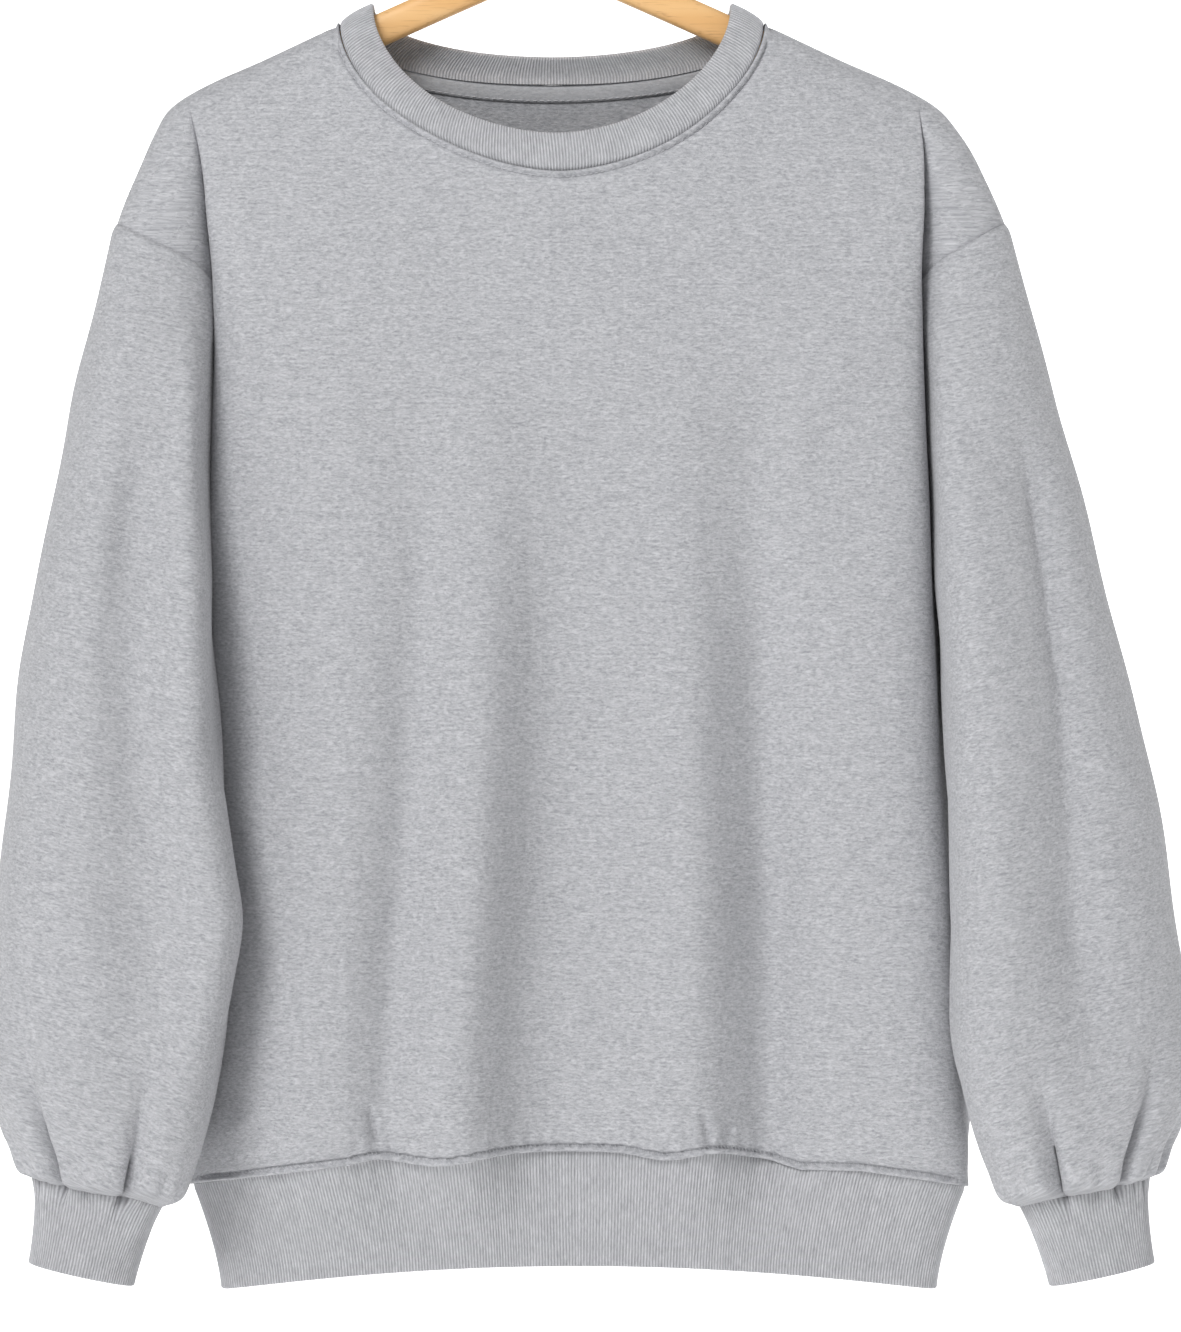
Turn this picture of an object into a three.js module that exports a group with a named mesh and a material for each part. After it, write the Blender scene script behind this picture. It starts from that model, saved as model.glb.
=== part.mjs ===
// A crewneck sweatshirt in brushed fleece, hanging on a plain wooden clothes hanger.
// Millimetres, +Z up, front towards -Y. The origin is where the hook rests on its rail.
// The cloth is cut as front, back, two sleeves, two ribbed cuffs, a ribbed hem band,
// a ribbed neckband and a tape inside the back neck. Each is a closed wall of its own.

import * as THREE from "three";

// Driving sizes
const shoulderLevel = -137; // height of the high shoulder points, below the rail
const fleece = 1.8; // thickness of the body and sleeve cloth
const ribCloth = 2.6; // thickness of the doubled rib trims
const seamGap = 0.3; // room left between two pieces that are sewn together
const neckHalf = 121.3; // half the neck seam's width at the high shoulder points
const frontNeckDrop = 86.2;
const backNeckDrop = 32;
const neckbandHalf = 102; // half the width inside the neckband
const neckbandRise = 12; // how far the neckband stands above the high shoulder points
const neckbandFront = 75.6; // from its highest to its lowest inner edge, at the front
const neckbandBack = 28;
const hemLevel = 661; // drop of the hem seam at the side seams
const hemArch = 21; // how much higher the hem seam is in the middle
const bandLevel = 720.5; // drop of the hem band's lower edge at the sides
const bandArch = 14.5;
const bandHalf = 203.5;
const bandFront = 34;
const bandBack = 30;
const cuffLength = 50;
const cuffWidth = 60;
const cuffDepth = 38;
const ribPitch = 6.6; // one raised rib stands for about three knitted ones
const ribHeight = 0.6;

// The shoulder and upper arm as an outline from the front
const shoulderLine = [
  { across: 0, drop: -54 },
  { across: 121.3, drop: 0 },
  { across: 164, drop: 20 },
  { across: 209, drop: 40.5 },
  { across: 222, drop: 49.5 },
  { across: 233, drop: 66 },
  { across: 243, drop: 88.5 },
  { across: 253.4, drop: 115 },
  { across: 265, drop: 157 },
];

// Body sections. side is the half width inside the armpit crease, front and back are depths,
// crease is the share of the depth that the crease takes, square how boxy the sides are.
const bodySections = [
  { drop: -60, side: 209, front: 26, back: 24, crease: 0, square: 8 },
  { drop: 0, side: 209, front: 30, back: 28, crease: 0, square: 8 },
  { drop: 40.5, side: 209, front: 36, back: 33, crease: 0, square: 8 },
  { drop: 70, side: 209, front: 42, back: 38, crease: 0.14, square: 8 },
  { drop: 100, side: 208.5, front: 47, back: 42, crease: 0.42, square: 8 },
  { drop: 150, side: 205.5, front: 55, back: 49, crease: 0.74, square: 7 },
  { drop: 210, side: 205.5, front: 61, back: 54, crease: 0.91, square: 5.5 },
  { drop: 270, side: 207, front: 65, back: 57, crease: 1, square: 4.2 },
  { drop: 400, side: 210, front: 69, back: 60, crease: 1, square: 3.2 },
  { drop: 520, side: 219, front: 69, back: 60, crease: 1, square: 3.1 },
  { drop: 620, side: 223, front: 64, back: 56, crease: 1, square: 3 },
  { drop: 661, side: 222, front: 48, back: 42, crease: 1, square: 3 },
];

// How far the body and the sleeves hang to one side of the middle line
const lean = [
  { drop: -60, body: 0, sleeve: 0 },
  { drop: 38, body: 0, sleeve: 0 },
  { drop: 80, body: 4, sleeve: 4 },
  { drop: 150, body: 6, sleeve: 6 },
  { drop: 270, body: 8.5, sleeve: 8.5 },
  { drop: 400, body: 13, sleeve: 14.5 },
  { drop: 520, body: 15, sleeve: 20.5 },
  { drop: 600, body: 15, sleeve: 22 },
  { drop: 730, body: 15.5, sleeve: 22.5 },
];

// Hanging folds. at is where each lies near the hem, drift how far it moves over towards
// the chest, start the drop where it begins; troughs have a negative height.
const bodyFolds = [
  { face: -1, at: -139, drift: 27, start: 330, height: 5, width: 22 },
  { face: -1, at: -92, drift: 25, start: 300, height: -5, width: 18 },
  { face: -1, at: -54, drift: 16, start: 190, height: 8, width: 20 },
  { face: -1, at: 18, drift: 10, start: 220, height: -5, width: 30 },
  { face: -1, at: 68, drift: 0, start: 210, height: 6, width: 24 },
  { face: -1, at: 126, drift: 0, start: 190, height: -8, width: 20 },
  { face: -1, at: 163, drift: 0, start: 260, height: 4, width: 20 },
  { face: 1, at: -128, drift: 14, start: 250, height: 6, width: 24 },
  { face: 1, at: -74, drift: 10, start: 230, height: -6, width: 26 },
  { face: 1, at: -8, drift: 4, start: 260, height: 7, width: 30 },
  { face: 1, at: 58, drift: -6, start: 220, height: -6, width: 24 },
  { face: 1, at: 112, drift: -10, start: 250, height: 6, width: 24 },
];

// Where the hem seam dips below or rises above its arch
const hemDips = [
  { face: -1, at: -115, dip: -2.5, width: 14 },
  { face: -1, at: -76, dip: 4, width: 22 },
  { face: -1, at: 48, dip: 3.5, width: 16 },
  { face: -1, at: 80, dip: -2, width: 14 },
  { face: -1, at: 127, dip: 4.5, width: 16 },
  { face: 1, at: -70, dip: 3, width: 20 },
  { face: 1, at: 60, dip: 3, width: 18 },
];

// The armhole seam over the upper arm; below its last row it follows the crease
const armholeSeam = [
  { across: 253.4, drop: 115 },
  { across: 251.6, drop: 116 },
  { across: 244.6, drop: 120 },
  { across: 236, drop: 125.4 },
  { across: 226.5, drop: 131 },
  { across: 217.7, drop: 136.6 },
  { across: 211, drop: 143 },
  { across: 205.5, drop: 150 },
];

// Sleeve sections: inner and outer edges across, front and back depths, and a tilt
// that swings the inner edge forward
const sleeveSections = [
  { drop: 110, inner: 208, outer: 252, front: 44, back: 38, tilt: 0 },
  { drop: 157, inner: 208, outer: 265, front: 55, back: 47, tilt: 0.08 },
  { drop: 214, inner: 208, outer: 280, front: 67, back: 50, tilt: 0.2 },
  { drop: 271, inner: 209, outer: 294, front: 77, back: 48, tilt: 0.3 },
  { drop: 328, inner: 207, outer: 307, front: 86, back: 39, tilt: 0.38 },
  { drop: 385, inner: 204, outer: 319, front: 94, back: 24, tilt: 0.4 },
  { drop: 442, inner: 203, outer: 328.4, front: 100, back: 12, tilt: 0.37 },
  { drop: 500, inner: 202.5, outer: 334.6, front: 106, back: 2, tilt: 0.32 },
  { drop: 557, inner: 205, outer: 337.5, front: 108, back: -6, tilt: 0.26 },
  { drop: 600, inner: 212, outer: 337.5, front: 107, back: -12, tilt: 0.22 },
  { drop: 628, inner: 219.5, outer: 333.7, front: 103, back: -17, tilt: 0.18 },
  { drop: 642, inner: 225, outer: 329.7, front: 98, back: -22, tilt: 0.12 },
  { drop: 652, inner: 231.5, outer: 325, front: 91, back: -29, tilt: 0.06 },
  { drop: 658.5, inner: 239.5, outer: 318, front: 82, back: -38, tilt: 0 },
];
const cuffSlant = 8.5; // how much lower the cuff seam is at the inner edge than in its middle

// Gathers where the sleeve is eased into its cuff, by angle round the sleeve in degrees
const cuffGathers = [
  { angle: 78, depth: 6, width: 9, reach: 70 },
  { angle: 112, depth: 7, width: 8, reach: 85 },
  { angle: 144, depth: 4, width: 8, reach: 50 },
  { angle: 184, depth: 4, width: 8, reach: 50 },
  { angle: 216, depth: 5, width: 8, reach: 60 },
  { angle: 245, depth: 5, width: 8, reach: 65 },
  { angle: 274, depth: 5, width: 8, reach: 55 },
  { angle: 304, depth: 4, width: 8, reach: 50 },
];
const sleeveTrough = { angle: 92, depth: 5, width: 22, start: 190, end: 640 };

// A smooth curve through one column of a table that never overshoots its rows
function curve(rows, along, name) {
  const at = rows.map((row) => row[along]);
  const value = rows.map((row) => row[name]);
  const last = at.length - 1;
  const slope = at.slice(1).map((a, i) => (value[i + 1] - value[i]) / (a - at[i]));
  const tangent = at.map((_, i) => {
    if (i === 0) return slope[0];
    if (i === last) return slope[last - 1];
    const [before, after] = [slope[i - 1], slope[i]];
    return before * after > 0 ? (2 * before * after) / (before + after) : 0;
  });
  return (x) => {
    if (x <= at[0]) return value[0] + slope[0] * (x - at[0]);
    if (x >= at[last]) return value[last] + slope[last - 1] * (x - at[last]);
    let i = 0;
    while (x > at[i + 1]) i += 1;
    const span = at[i + 1] - at[i];
    const t = (x - at[i]) / span;
    const near = (1 + 2 * t) * (1 - t) ** 2 * value[i] + t * (1 - t) ** 2 * span * tangent[i];
    return near + t * t * (3 - 2 * t) * value[i + 1] - t * t * (1 - t) * span * tangent[i + 1];
  };
}

const curvesOf = (rows, along) =>
  Object.fromEntries(
    Object.keys(rows[0])
      .filter((name) => name !== along)
      .map((name) => [name, curve(rows, along, name)]),
  );

const shoulderDrop = curve(shoulderLine, "across", "drop");
const shoulderAcross = curve(shoulderLine, "drop", "across");
const body = curvesOf(bodySections, "drop");
const leanOf = curvesOf(lean, "drop");
const sleeve = curvesOf(sleeveSections, "drop");

const clamp = (x, low, high) => Math.min(high, Math.max(low, x));
const ease = (low, high, x) => {
  const t = clamp((x - low) / (high - low), 0, 1);
  return t * t * (3 - 2 * t);
};
const bump = (x, width) => Math.exp(-((x / width) ** 2));
const boxed = (share, square) => (1 - clamp(share, 0, 1) ** square) ** (1 / square);
const oval = (turn, square) => Math.sign(turn) * Math.abs(turn) ** (2 / square);

// The body's depth from its seam plane at a place across and down, folds included
const shoulderRound = 25;
const lobeShare = 0.94;
function bodyDepth(across, drop, face) {
  const side = body.side(drop);
  const out = Math.abs(across);
  const full = face < 0 ? body.front(drop) : body.back(drop);
  const creased = clamp(body.crease(drop), 0, 1);
  const floor = full * (1 - creased);
  let depth = floor + (full - floor) * boxed(out / side, body.square(drop));
  if (out > side) {
    const reach = Math.max(1, shoulderAcross(drop) - side);
    const open = clamp((out - side) / reach, 0, 1);
    const lobe = full * (1 - (1 - lobeShare) * ease(50, 100, drop));
    depth = floor + (lobe - floor) * Math.sqrt(1 - (1 - open) ** 2);
  }
  const below = Math.max(0, drop - shoulderDrop(out));
  const inside = 1 - ease(0.8, 1, out / side);
  let fold = 0;
  for (const f of bodyFolds.filter((row) => row.face === face)) {
    const at = f.at + f.drift * ease(560, 200, drop);
    const grown = ease(f.start, f.start + 260, drop) * (1 - 0.45 * ease(600, hemLevel, drop));
    fold += f.height * grown * bump(across - at, f.width);
  }
  return depth * Math.sqrt(below / (below + shoulderRound)) + fold * inside;
}

function hemDrop(across, face) {
  const share = clamp(Math.abs(across) / body.side(hemLevel), 0, 1);
  const dips = hemDips.filter((row) => row.face === face);
  const dip = dips.reduce((sum, row) => sum + row.dip * bump(across - row.at, row.width), 0);
  return hemLevel - hemArch * (1 - share ** 2) + dip * (1 - share ** 4);
}

const bodyPoint = (across, drop, face) =>
  new THREE.Vector3(
    across + leanOf.body(drop),
    face * (bodyDepth(across, drop, face) + seamGap / 2),
    shoulderLevel - drop,
  );

// A sheet of cloth as numbered points and triangles
class Sheet {
  points = [];
  faces = [];

  add(point) {
    return this.points.push(point) - 1;
  }

  triangle(a, b, c) {
    if (a !== b && b !== c && a !== c) this.faces.push([a, b, c]);
  }

  // Rows of point numbers, top to bottom, each from left to right as seen from outside
  grid(rows, closed = false) {
    for (let r = 0; r + 1 < rows.length; r += 1) {
      const [upper, lower] = [rows[r], rows[r + 1]];
      const spans = closed ? upper.length : upper.length - 1;
      const ratio = lower.length / upper.length;
      for (let c = 0; c < spans; c += 1) {
        const next = (c + 1) % upper.length;
        if (ratio === 2) {
          const [a, b, d] = [lower[2 * c], lower[2 * c + 1], lower[(2 * c + 2) % lower.length]];
          this.triangle(upper[c], a, b);
          this.triangle(upper[c], b, upper[next]);
          this.triangle(upper[next], b, d);
          continue;
        }
        const corners = [upper[c], lower[c], lower[next], upper[next]];
        const [a, b, d, e] = corners.map((i) => this.points[i]);
        const turn = a.distanceTo(d) <= b.distanceTo(e) ? 0 : 1; // split along the shorter diagonal
        const at = (i) => corners[(i + turn) % 4];
        this.triangle(at(0), at(1), at(2));
        this.triangle(at(0), at(2), at(3));
      }
    }
  }
}

// A closed geometry, turned so that its faces point outwards
function closedGeometry(points, faces) {
  const volume = faces.reduce((sum, [a, b, c]) => {
    const cross = new THREE.Vector3().crossVectors(points[b], points[c]);
    return sum + points[a].dot(cross);
  }, 0);
  const outward = volume > 0 ? faces : faces.map(([a, b, c]) => [a, c, b]);
  const geometry = new THREE.BufferGeometry().setFromPoints(points);
  geometry.setIndex(outward.flat());
  geometry.computeVertexNormals();
  return geometry;
}

// Gives a sheet its thickness: an inner layer, and a rim along every open edge.
// The rim is level at the points listed as hanging edges.
function wall(sheet, thickness, hanging = []) {
  const { points, faces } = sheet;
  const normals = points.map(() => new THREE.Vector3());
  for (const [a, b, c] of faces) {
    const edge = new THREE.Vector3().subVectors(points[b], points[a]);
    const normal = new THREE.Vector3().subVectors(points[c], points[a]);
    normal.crossVectors(edge, normal);
    [a, b, c].forEach((corner) => normals[corner].add(normal));
  }
  hanging.forEach((i) => normals[i].setZ(0));
  const count = points.length;
  const inner = points.map((point, i) => {
    if (Math.abs(point.y) < seamGap) normals[i].y = 0; // a seam in the middle plane
    return point.clone().addScaledVector(normals[i].normalize(), -thickness);
  });
  const edges = new Map();
  for (const face of faces) {
    face.forEach((from, i) => {
      const to = face[(i + 1) % 3];
      if (!edges.delete(`${to},${from}`)) edges.set(`${from},${to}`, [from, to]);
    });
  }
  const rim = [...edges.values()].flatMap(([from, to]) => [
    [to, from, from + count],
    [to, from + count, to + count],
  ]);
  const under = faces.map(([a, b, c]) => [a + count, c + count, b + count]);
  return closedGeometry([...points, ...inner], [...faces, ...rim, ...under]);
}

// Front or back. Columns run from the armpit crease to the middle, rows from the
// shoulder and neck line to the hem.
const wallShares = [0, 0.35, 0.65, 0.85];
const shoulderColumns = [209, 208.4, 206.8, 202, 193, 176, 150, neckHalf];
const creaseTop = 40.5;
const flapRows = [creaseTop, 43, 48, 55, 64, 76, 90, 105, 120, 135, 150];
const creaseRows = [175, 212, 270];
const lowerRows = [325, 385, 445, 505, 560, 605, 635, 652, hemLevel];
const rowDrops = [...flapRows, ...creaseRows, ...lowerRows];
const ridgeAcross = [209, 226, 241, 253.4];

const neckSquare = { [-1]: 1.75, [1]: 2 };
const neckTurns = {
  [-1]: [3, 10, 19, 28, 37, 46, 56, 67, 78, 90],
  [1]: [5, 18, 32, 46, 60, 75, 90],
};
const neckDrop = { [-1]: frontNeckDrop, [1]: backNeckDrop };

function topLine(face) {
  const shoulder = shoulderColumns.map((across) => ({ across, drop: shoulderDrop(across) }));
  const neck = [];
  for (const degrees of neckTurns[face]) {
    const turn = THREE.MathUtils.degToRad(degrees);
    const across = neckHalf * oval(Math.cos(turn), neckSquare[face]);
    neck.push({ across, drop: neckDrop[face] * oval(Math.sin(turn), neckSquare[face]) });
  }
  return [...shoulder, ...neck];
}

function stationShare(column, last, square) {
  if (column < wallShares.length) return (1 - wallShares[column] ** square) ** (1 / square);
  const corner = wallShares.length - 1;
  const edge = (1 - wallShares[corner] ** square) ** (1 / square);
  return edge * (1 - (column - corner) / (last - corner));
}

function panel(face) {
  const sheet = new Sheet();
  const top = topLine(face);
  const last = top.length - 1;
  const rowOf = (level, sign) =>
    top.map((start, column) => {
      const settled = ease(creaseTop, 170, level);
      const station = body.side(level) * stationShare(column, last, body.square(level));
      const across = sign * (start.across * (1 - settled) + station * settled);
      const held = (start.drop - creaseTop) * (1 - ease(creaseTop, 230, level));
      const hem = (hemDrop(across, face) - hemLevel) * ease(520, hemLevel, level);
      return { across, drop: level + held + hem };
    });
  const rows = rowDrops.map((level) => {
    const left = rowOf(level, -1);
    const right = rowOf(level, 1).reverse().slice(1);
    return [...left, ...right].map((p) => sheet.add(bodyPoint(p.across, p.drop, face)));
  });
  sheet.grid(rows);

  // The dropped shoulder outside the crease, from the shoulder ridge to the armhole seam
  const steps = 5;
  const ridge = ridgeAcross.map((across) => ({ across, drop: shoulderDrop(across) }));
  const rim = [...ridge, ...armholeSeam.slice(1)];
  for (const sign of [-1, 1]) {
    const flap = flapRows.map((level, r) => {
      const crease = rows[r][sign < 0 ? 0 : rows[r].length - 1];
      const from = { across: body.side(level), drop: level };
      const isPole = r === 0 || r === flapRows.length - 1;
      const row = [crease];
      for (let step = 1; step <= steps; step += 1) {
        const share = (1 - Math.cos((Math.PI * step) / steps)) / 2;
        const across = from.across + (rim[r].across - from.across) * share;
        const drop = from.drop + (rim[r].drop - from.drop) * share;
        row.push(isPole ? crease : sheet.add(bodyPoint(sign * across, drop, face)));
      }
      return sign < 0 ? row.reverse() : row;
    });
    sheet.grid(flap);
  }
  if (face > 0) sheet.faces = sheet.faces.map(([a, b, c]) => [a, c, b]);
  return { geometry: wall(sheet, fleece, rows.at(-1)), sheet, rows };
}

// Sleeve. Angle 0 faces the body, a quarter turn the front, half a turn the outside.
const sleeveColumns = 20;
const sleeveSquare = 2.3;
const startFade = 75;
const evenedOut = 260; // how far below the armhole the columns are evenly spaced again
const seamAngles = [0, 4, 9, 16, 30, 48, 68, 92, 125, 154, 180]; // underarm to shoulder
const sleeveRows = [0, 0.02, 0.06, 0.13, 0.22, 0.32, 0.43, 0.54, 0.65, 0.75];
const cuffRows = [0.83, 0.89, 0.93, 0.955, 0.975, 0.99, 1];

function armholePoint(column) {
  const half = sleeveColumns / 2;
  const step = Math.abs(half - column);
  const face = column <= half ? -1 : 1;
  if (step < armholeSeam.length) return { ...armholeSeam[step], face };
  const drop = creaseRows[step - armholeSeam.length];
  return { across: body.side(drop), drop, face };
}

function columnAngle(place, below) {
  const even = (360 * place) / sleeveColumns;
  const isFront = place <= sleeveColumns / 2;
  const own = seamAngles[Math.floor(isFront ? place : sleeveColumns - place)];
  const atSeam = isFront ? own : 360 - own;
  return THREE.MathUtils.degToRad(atSeam + (even - atSeam) * ease(0, evenedOut, below));
}

function sleeveDent(angle, drop) {
  const degrees = (angle * 180) / Math.PI;
  const close = ease(658.5, 647, drop);
  const gathers = cuffGathers.reduce(
    (sum, g) => sum + g.depth * ease(658.5 - g.reach, 645, drop) * bump(degrees - g.angle, g.width),
    0,
  );
  const t = sleeveTrough;
  const along = ease(t.start, t.start + 120, drop) * (1 - ease(t.end - 120, t.end, drop));
  return gathers * close + t.depth * along * bump(degrees - t.angle, t.width);
}

// across, y and drop of a point on the sleeve's own section
function sleevePlace(angle, drop) {
  const half = (sleeve.outer(drop) - sleeve.inner(drop)) / 2;
  const deep = (sleeve.front(drop) + sleeve.back(drop)) / 2;
  const dent = sleeveDent(angle, drop);
  const across = oval(Math.cos(angle), sleeveSquare);
  const forward = oval(Math.sin(angle), sleeveSquare);
  const middle = (sleeve.back(drop) - sleeve.front(drop)) / 2;
  return {
    across: sleeve.inner(drop) + half - (half - dent) * across,
    y: middle - (deep - dent) * forward - sleeve.tilt(drop) * half * across,
    drop: drop + cuffSlant * Math.cos(angle) * ease(540, 658.5, drop),
  };
}

function sleevePiece(sign) {
  const sheet = new Sheet();
  const level = (share, start) => start + (658.5 - start) * share;
  const ringAt = (share, columns) => {
    const ring = [];
    for (let c = 0; c < columns; c += 1) {
      const place = (c * sleeveColumns) / columns;
      const seam = armholePoint(Math.floor(place));
      const nextSeam = armholePoint(Math.ceil(place));
      const start = (seam.drop + nextSeam.drop) / 2;
      const drop = level(share, start);
      const point = sleevePlace(columnAngle(place, drop - start), drop);
      const faded = 1 - ease(0, startFade, drop - start);
      if (faded > 0) {
        const own = sleevePlace(columnAngle(place, 0), start);
        const y = seam.face * bodyDepth(seam.across, seam.drop, seam.face);
        const aside = 1.8 * ease(112, 148, seam.drop) + 0.7 * ease(150, 200, seam.drop);
        const under = 0.8 * (1 - ease(140, 165, seam.drop));
        point.across += (seam.across + aside - own.across) * faded;
        point.drop += (seam.drop + under - own.drop) * faded;
        point.y += (y - own.y) * faded;
      }
      const x = sign * point.across + leanOf.sleeve(point.drop);
      ring.push(sheet.add(new THREE.Vector3(x, point.y, shoulderLevel - point.drop)));
    }
    return sign < 0 ? ring.reverse() : ring;
  };
  const upper = sleeveRows.map((share) => ringAt(share, sleeveColumns));
  const lower = cuffRows.map((share) => ringAt(share, 2 * sleeveColumns));
  // Reversing a ring moves its first column to the end, so it is turned back to the front
  if (sign < 0) [...upper, ...lower].forEach((ring) => ring.unshift(ring.pop()));
  sheet.grid([...upper, ...lower], true);
  return { geometry: wall(sheet, fleece), edge: lower.at(-1).map((i) => sheet.points[i]) };
}

// Ribbed trims. Rings hold the corner points from the seamed edge to the free edge;
// each span between corners carries whole ribs, raised in the outer points alone.
function ribbed(rings, seamLevel = false) {
  const corners = rings[0].length;
  const wrap = (c) => (c + corners) % corners;
  const normalAt = (r, c) => {
    const above = rings[Math.max(0, r - 1)][c];
    const below = rings[Math.min(rings.length - 1, r + 1)][c];
    const round = rings[r][wrap(c + 1)].clone().sub(rings[r][wrap(c - 1)]);
    return round.cross(below.clone().sub(above)).normalize();
  };
  const normals = rings.map((ring, r) => ring.map((_, c) => normalAt(r, c)));
  const centre = rings[0].reduce((sum, p) => sum.add(p), new THREE.Vector3()).divideScalar(corners);
  const facesIn = normals[0][0].dot(rings[0][0].clone().sub(centre)) < 0;
  if (facesIn) normals.flat().forEach((normal) => normal.negate());
  if (seamLevel) normals[0].forEach((normal) => normal.setZ(0).normalize());

  const points = [];
  const faces = [];
  const add = (point) => points.push(point) - 1;
  const quad = (a, b, c, d) => faces.push([a, b, c], [a, c, d]);
  const spans = rings[0].map((p, c) => {
    const ribs = Math.max(1, Math.round(p.distanceTo(rings[0][wrap(c + 1)]) / ribPitch));
    return 2 * ribs;
  });
  const outer = rings.map((ring, r) =>
    ring.flatMap((point, c) =>
      Array.from({ length: spans[c] }, (_, s) => {
        const share = s / spans[c];
        const base = point.clone().lerp(ring[wrap(c + 1)], share);
        const normal = normals[r][c].clone().lerp(normals[r][wrap(c + 1)], share).normalize();
        return add(base.addScaledVector(normal, s % 2 ? ribHeight : 0));
      }),
    ),
  );
  const inner = rings.map((ring, r) =>
    ring.map((point, c) => add(point.clone().addScaledVector(normals[r][c], -ribCloth))),
  );
  const total = outer[0].length;
  for (let r = 0; r + 1 < rings.length; r += 1) {
    for (let m = 0; m < total; m += 1) {
      const next = (m + 1) % total;
      quad(outer[r][m], outer[r + 1][m], outer[r + 1][next], outer[r][next]);
    }
    for (let c = 0; c < corners; c += 1) {
      const next = wrap(c + 1);
      quad(inner[r][c], inner[r][next], inner[r + 1][next], inner[r + 1][c]);
    }
  }
  const close = (r, turned) => {
    let start = 0;
    spans.forEach((span, c) => {
      for (let s = 0; s < span; s += 1) {
        const [a, b] = [outer[r][(start + s) % total], outer[r][(start + s + 1) % total]];
        const hub = inner[r][s < span / 2 ? c : wrap(c + 1)];
        faces.push(turned ? [hub, b, a] : [hub, a, b]);
      }
      const middle = outer[r][(start + span / 2) % total];
      const [a, b] = [inner[r][c], inner[r][wrap(c + 1)]];
      faces.push(turned ? [a, b, middle] : [a, middle, b]);
      start += span;
    });
  };
  close(0, false);
  close(rings.length - 1, true);
  return closedGeometry(points, faces);
}

// Neckband: a ring from the neck seam up and in to the opening, a little proud of the cloth
function neckband() {
  const proud = 0.8;
  const stand = 0.45; // drop left between the neck seam and the band
  const corners = [];
  for (const face of [-1, 1]) {
    const rising = neckTurns[face];
    const falling = rising.slice(0, -1).reverse().map((degrees) => 180 - degrees);
    for (const degrees of [0, ...rising, ...falling]) {
      const turn = THREE.MathUtils.degToRad(degrees);
      const [cos, sin] = [Math.cos(turn), Math.sin(turn)];
      const across = -face * neckHalf * oval(cos, neckSquare[face]);
      const drop = neckDrop[face] * oval(sin, neckSquare[face]);
      const y = face * bodyDepth(across, drop, face);
      const fall = face < 0 ? neckbandFront : neckbandBack;
      const innerSquare = face < 0 ? 1.88 : 2;
      corners.push({
        across,
        y,
        drop,
        innerAcross: -face * neckbandHalf * oval(cos, innerSquare),
        innerY: y * 0.84,
        innerDrop: fall * oval(sin, innerSquare) - neckbandRise,
      });
    }
  }
  return ribbed(
    [0, 0.5, 1].map((share) =>
      corners.map((c) => {
        const rise = share * 0.96 + 0.04;
        const across = c.across + (c.innerAcross - c.across) * rise;
        const drop = c.drop + (c.innerDrop - c.drop) * rise - stand * (1 - share);
        const y = c.y + (c.innerY - c.y) * rise;
        const swell = proud + 1.6 * Math.sin(Math.PI * share);
        const level = Math.hypot(across, 1.6 * y);
        return new THREE.Vector3(
          across + leanOf.body(drop) + (swell * across * 0.6) / level,
          y + (swell * 1.6 * y) / level,
          shoulderLevel - drop + swell * 0.5 * Math.abs(Math.cos(Math.atan2(1.6 * y, across))),
        );
      }),
    ),
  );
}

// Hem band: hangs from the panels' own lower edges and draws in towards its free edge
function hemBand(front, back) {
  const edgeOf = (piece) => piece.rows.at(-1).map((i) => piece.sheet.points[i]);
  const frontEdge = edgeOf(front);
  const backEdge = edgeOf(back).reverse();
  const seam = [...frontEdge.slice(0, -1), ...backEdge.slice(0, -1)];
  const side = body.side(hemLevel);
  const bottom = seam.map((point, i) => {
    const face = i < frontEdge.length - 1 ? -1 : 1;
    const across = (point.x - leanOf.body(shoulderLevel - point.z)) / side;
    const share = clamp(Math.abs(across), 0, 1);
    const deep = (face < 0 ? bandFront : bandBack) * boxed(share, 3);
    const drop = bandLevel - bandArch * (1 - share ** 2);
    return new THREE.Vector3(bandHalf * across + leanOf.body(drop), face * deep, shoulderLevel - drop);
  });
  return ribbed(
    [0, 0.4, 1].map((share) =>
      seam.map((point, i) => {
        const drawn = 1 - (1 - share) ** 1.5;
        const z = point.z + (bottom[i].z - point.z) * share - 2 * seamGap * (1 - share);
        const at = point.clone().lerp(bottom[i], drawn);
        return new THREE.Vector3(at.x, at.y, z);
      }),
    ),
    true,
  );
}

// Cuff: hangs from the sleeve's own lower edge, swung outwards with it
function cuff(edge, sign) {
  const centre = edge.reduce((sum, p) => sum.add(p), new THREE.Vector3()).divideScalar(edge.length);
  const swing = THREE.MathUtils.degToRad(12.5) * sign;
  const down = new THREE.Vector3(Math.sin(swing), 0, -Math.cos(swing));
  const out = new THREE.Vector3(Math.cos(swing), 0, Math.sin(swing));
  const end = centre.clone().addScaledVector(down, cuffLength);
  return ribbed(
    [0, 0.35, 1].map((share) =>
      edge.map((point) => {
        const around = point.clone().sub(centre);
        const turn = Math.atan2(around.y / cuffDepth, around.dot(out) / cuffWidth);
        const low = end
          .clone()
          .addScaledVector(out, (cuffWidth / 2) * Math.cos(turn))
          .add(new THREE.Vector3(0, (cuffDepth / 2) * Math.sin(turn), 0));
        const drawn = 1 - (1 - share) ** 1.7;
        const at = point.clone().lerp(low, drawn);
        const along = point.clone().lerp(low, share);
        at.addScaledVector(down, along.sub(at).dot(down));
        return at.addScaledVector(down, (seamGap + 0.1) * (1 - share));
      }),
    ),
  );
}

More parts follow.
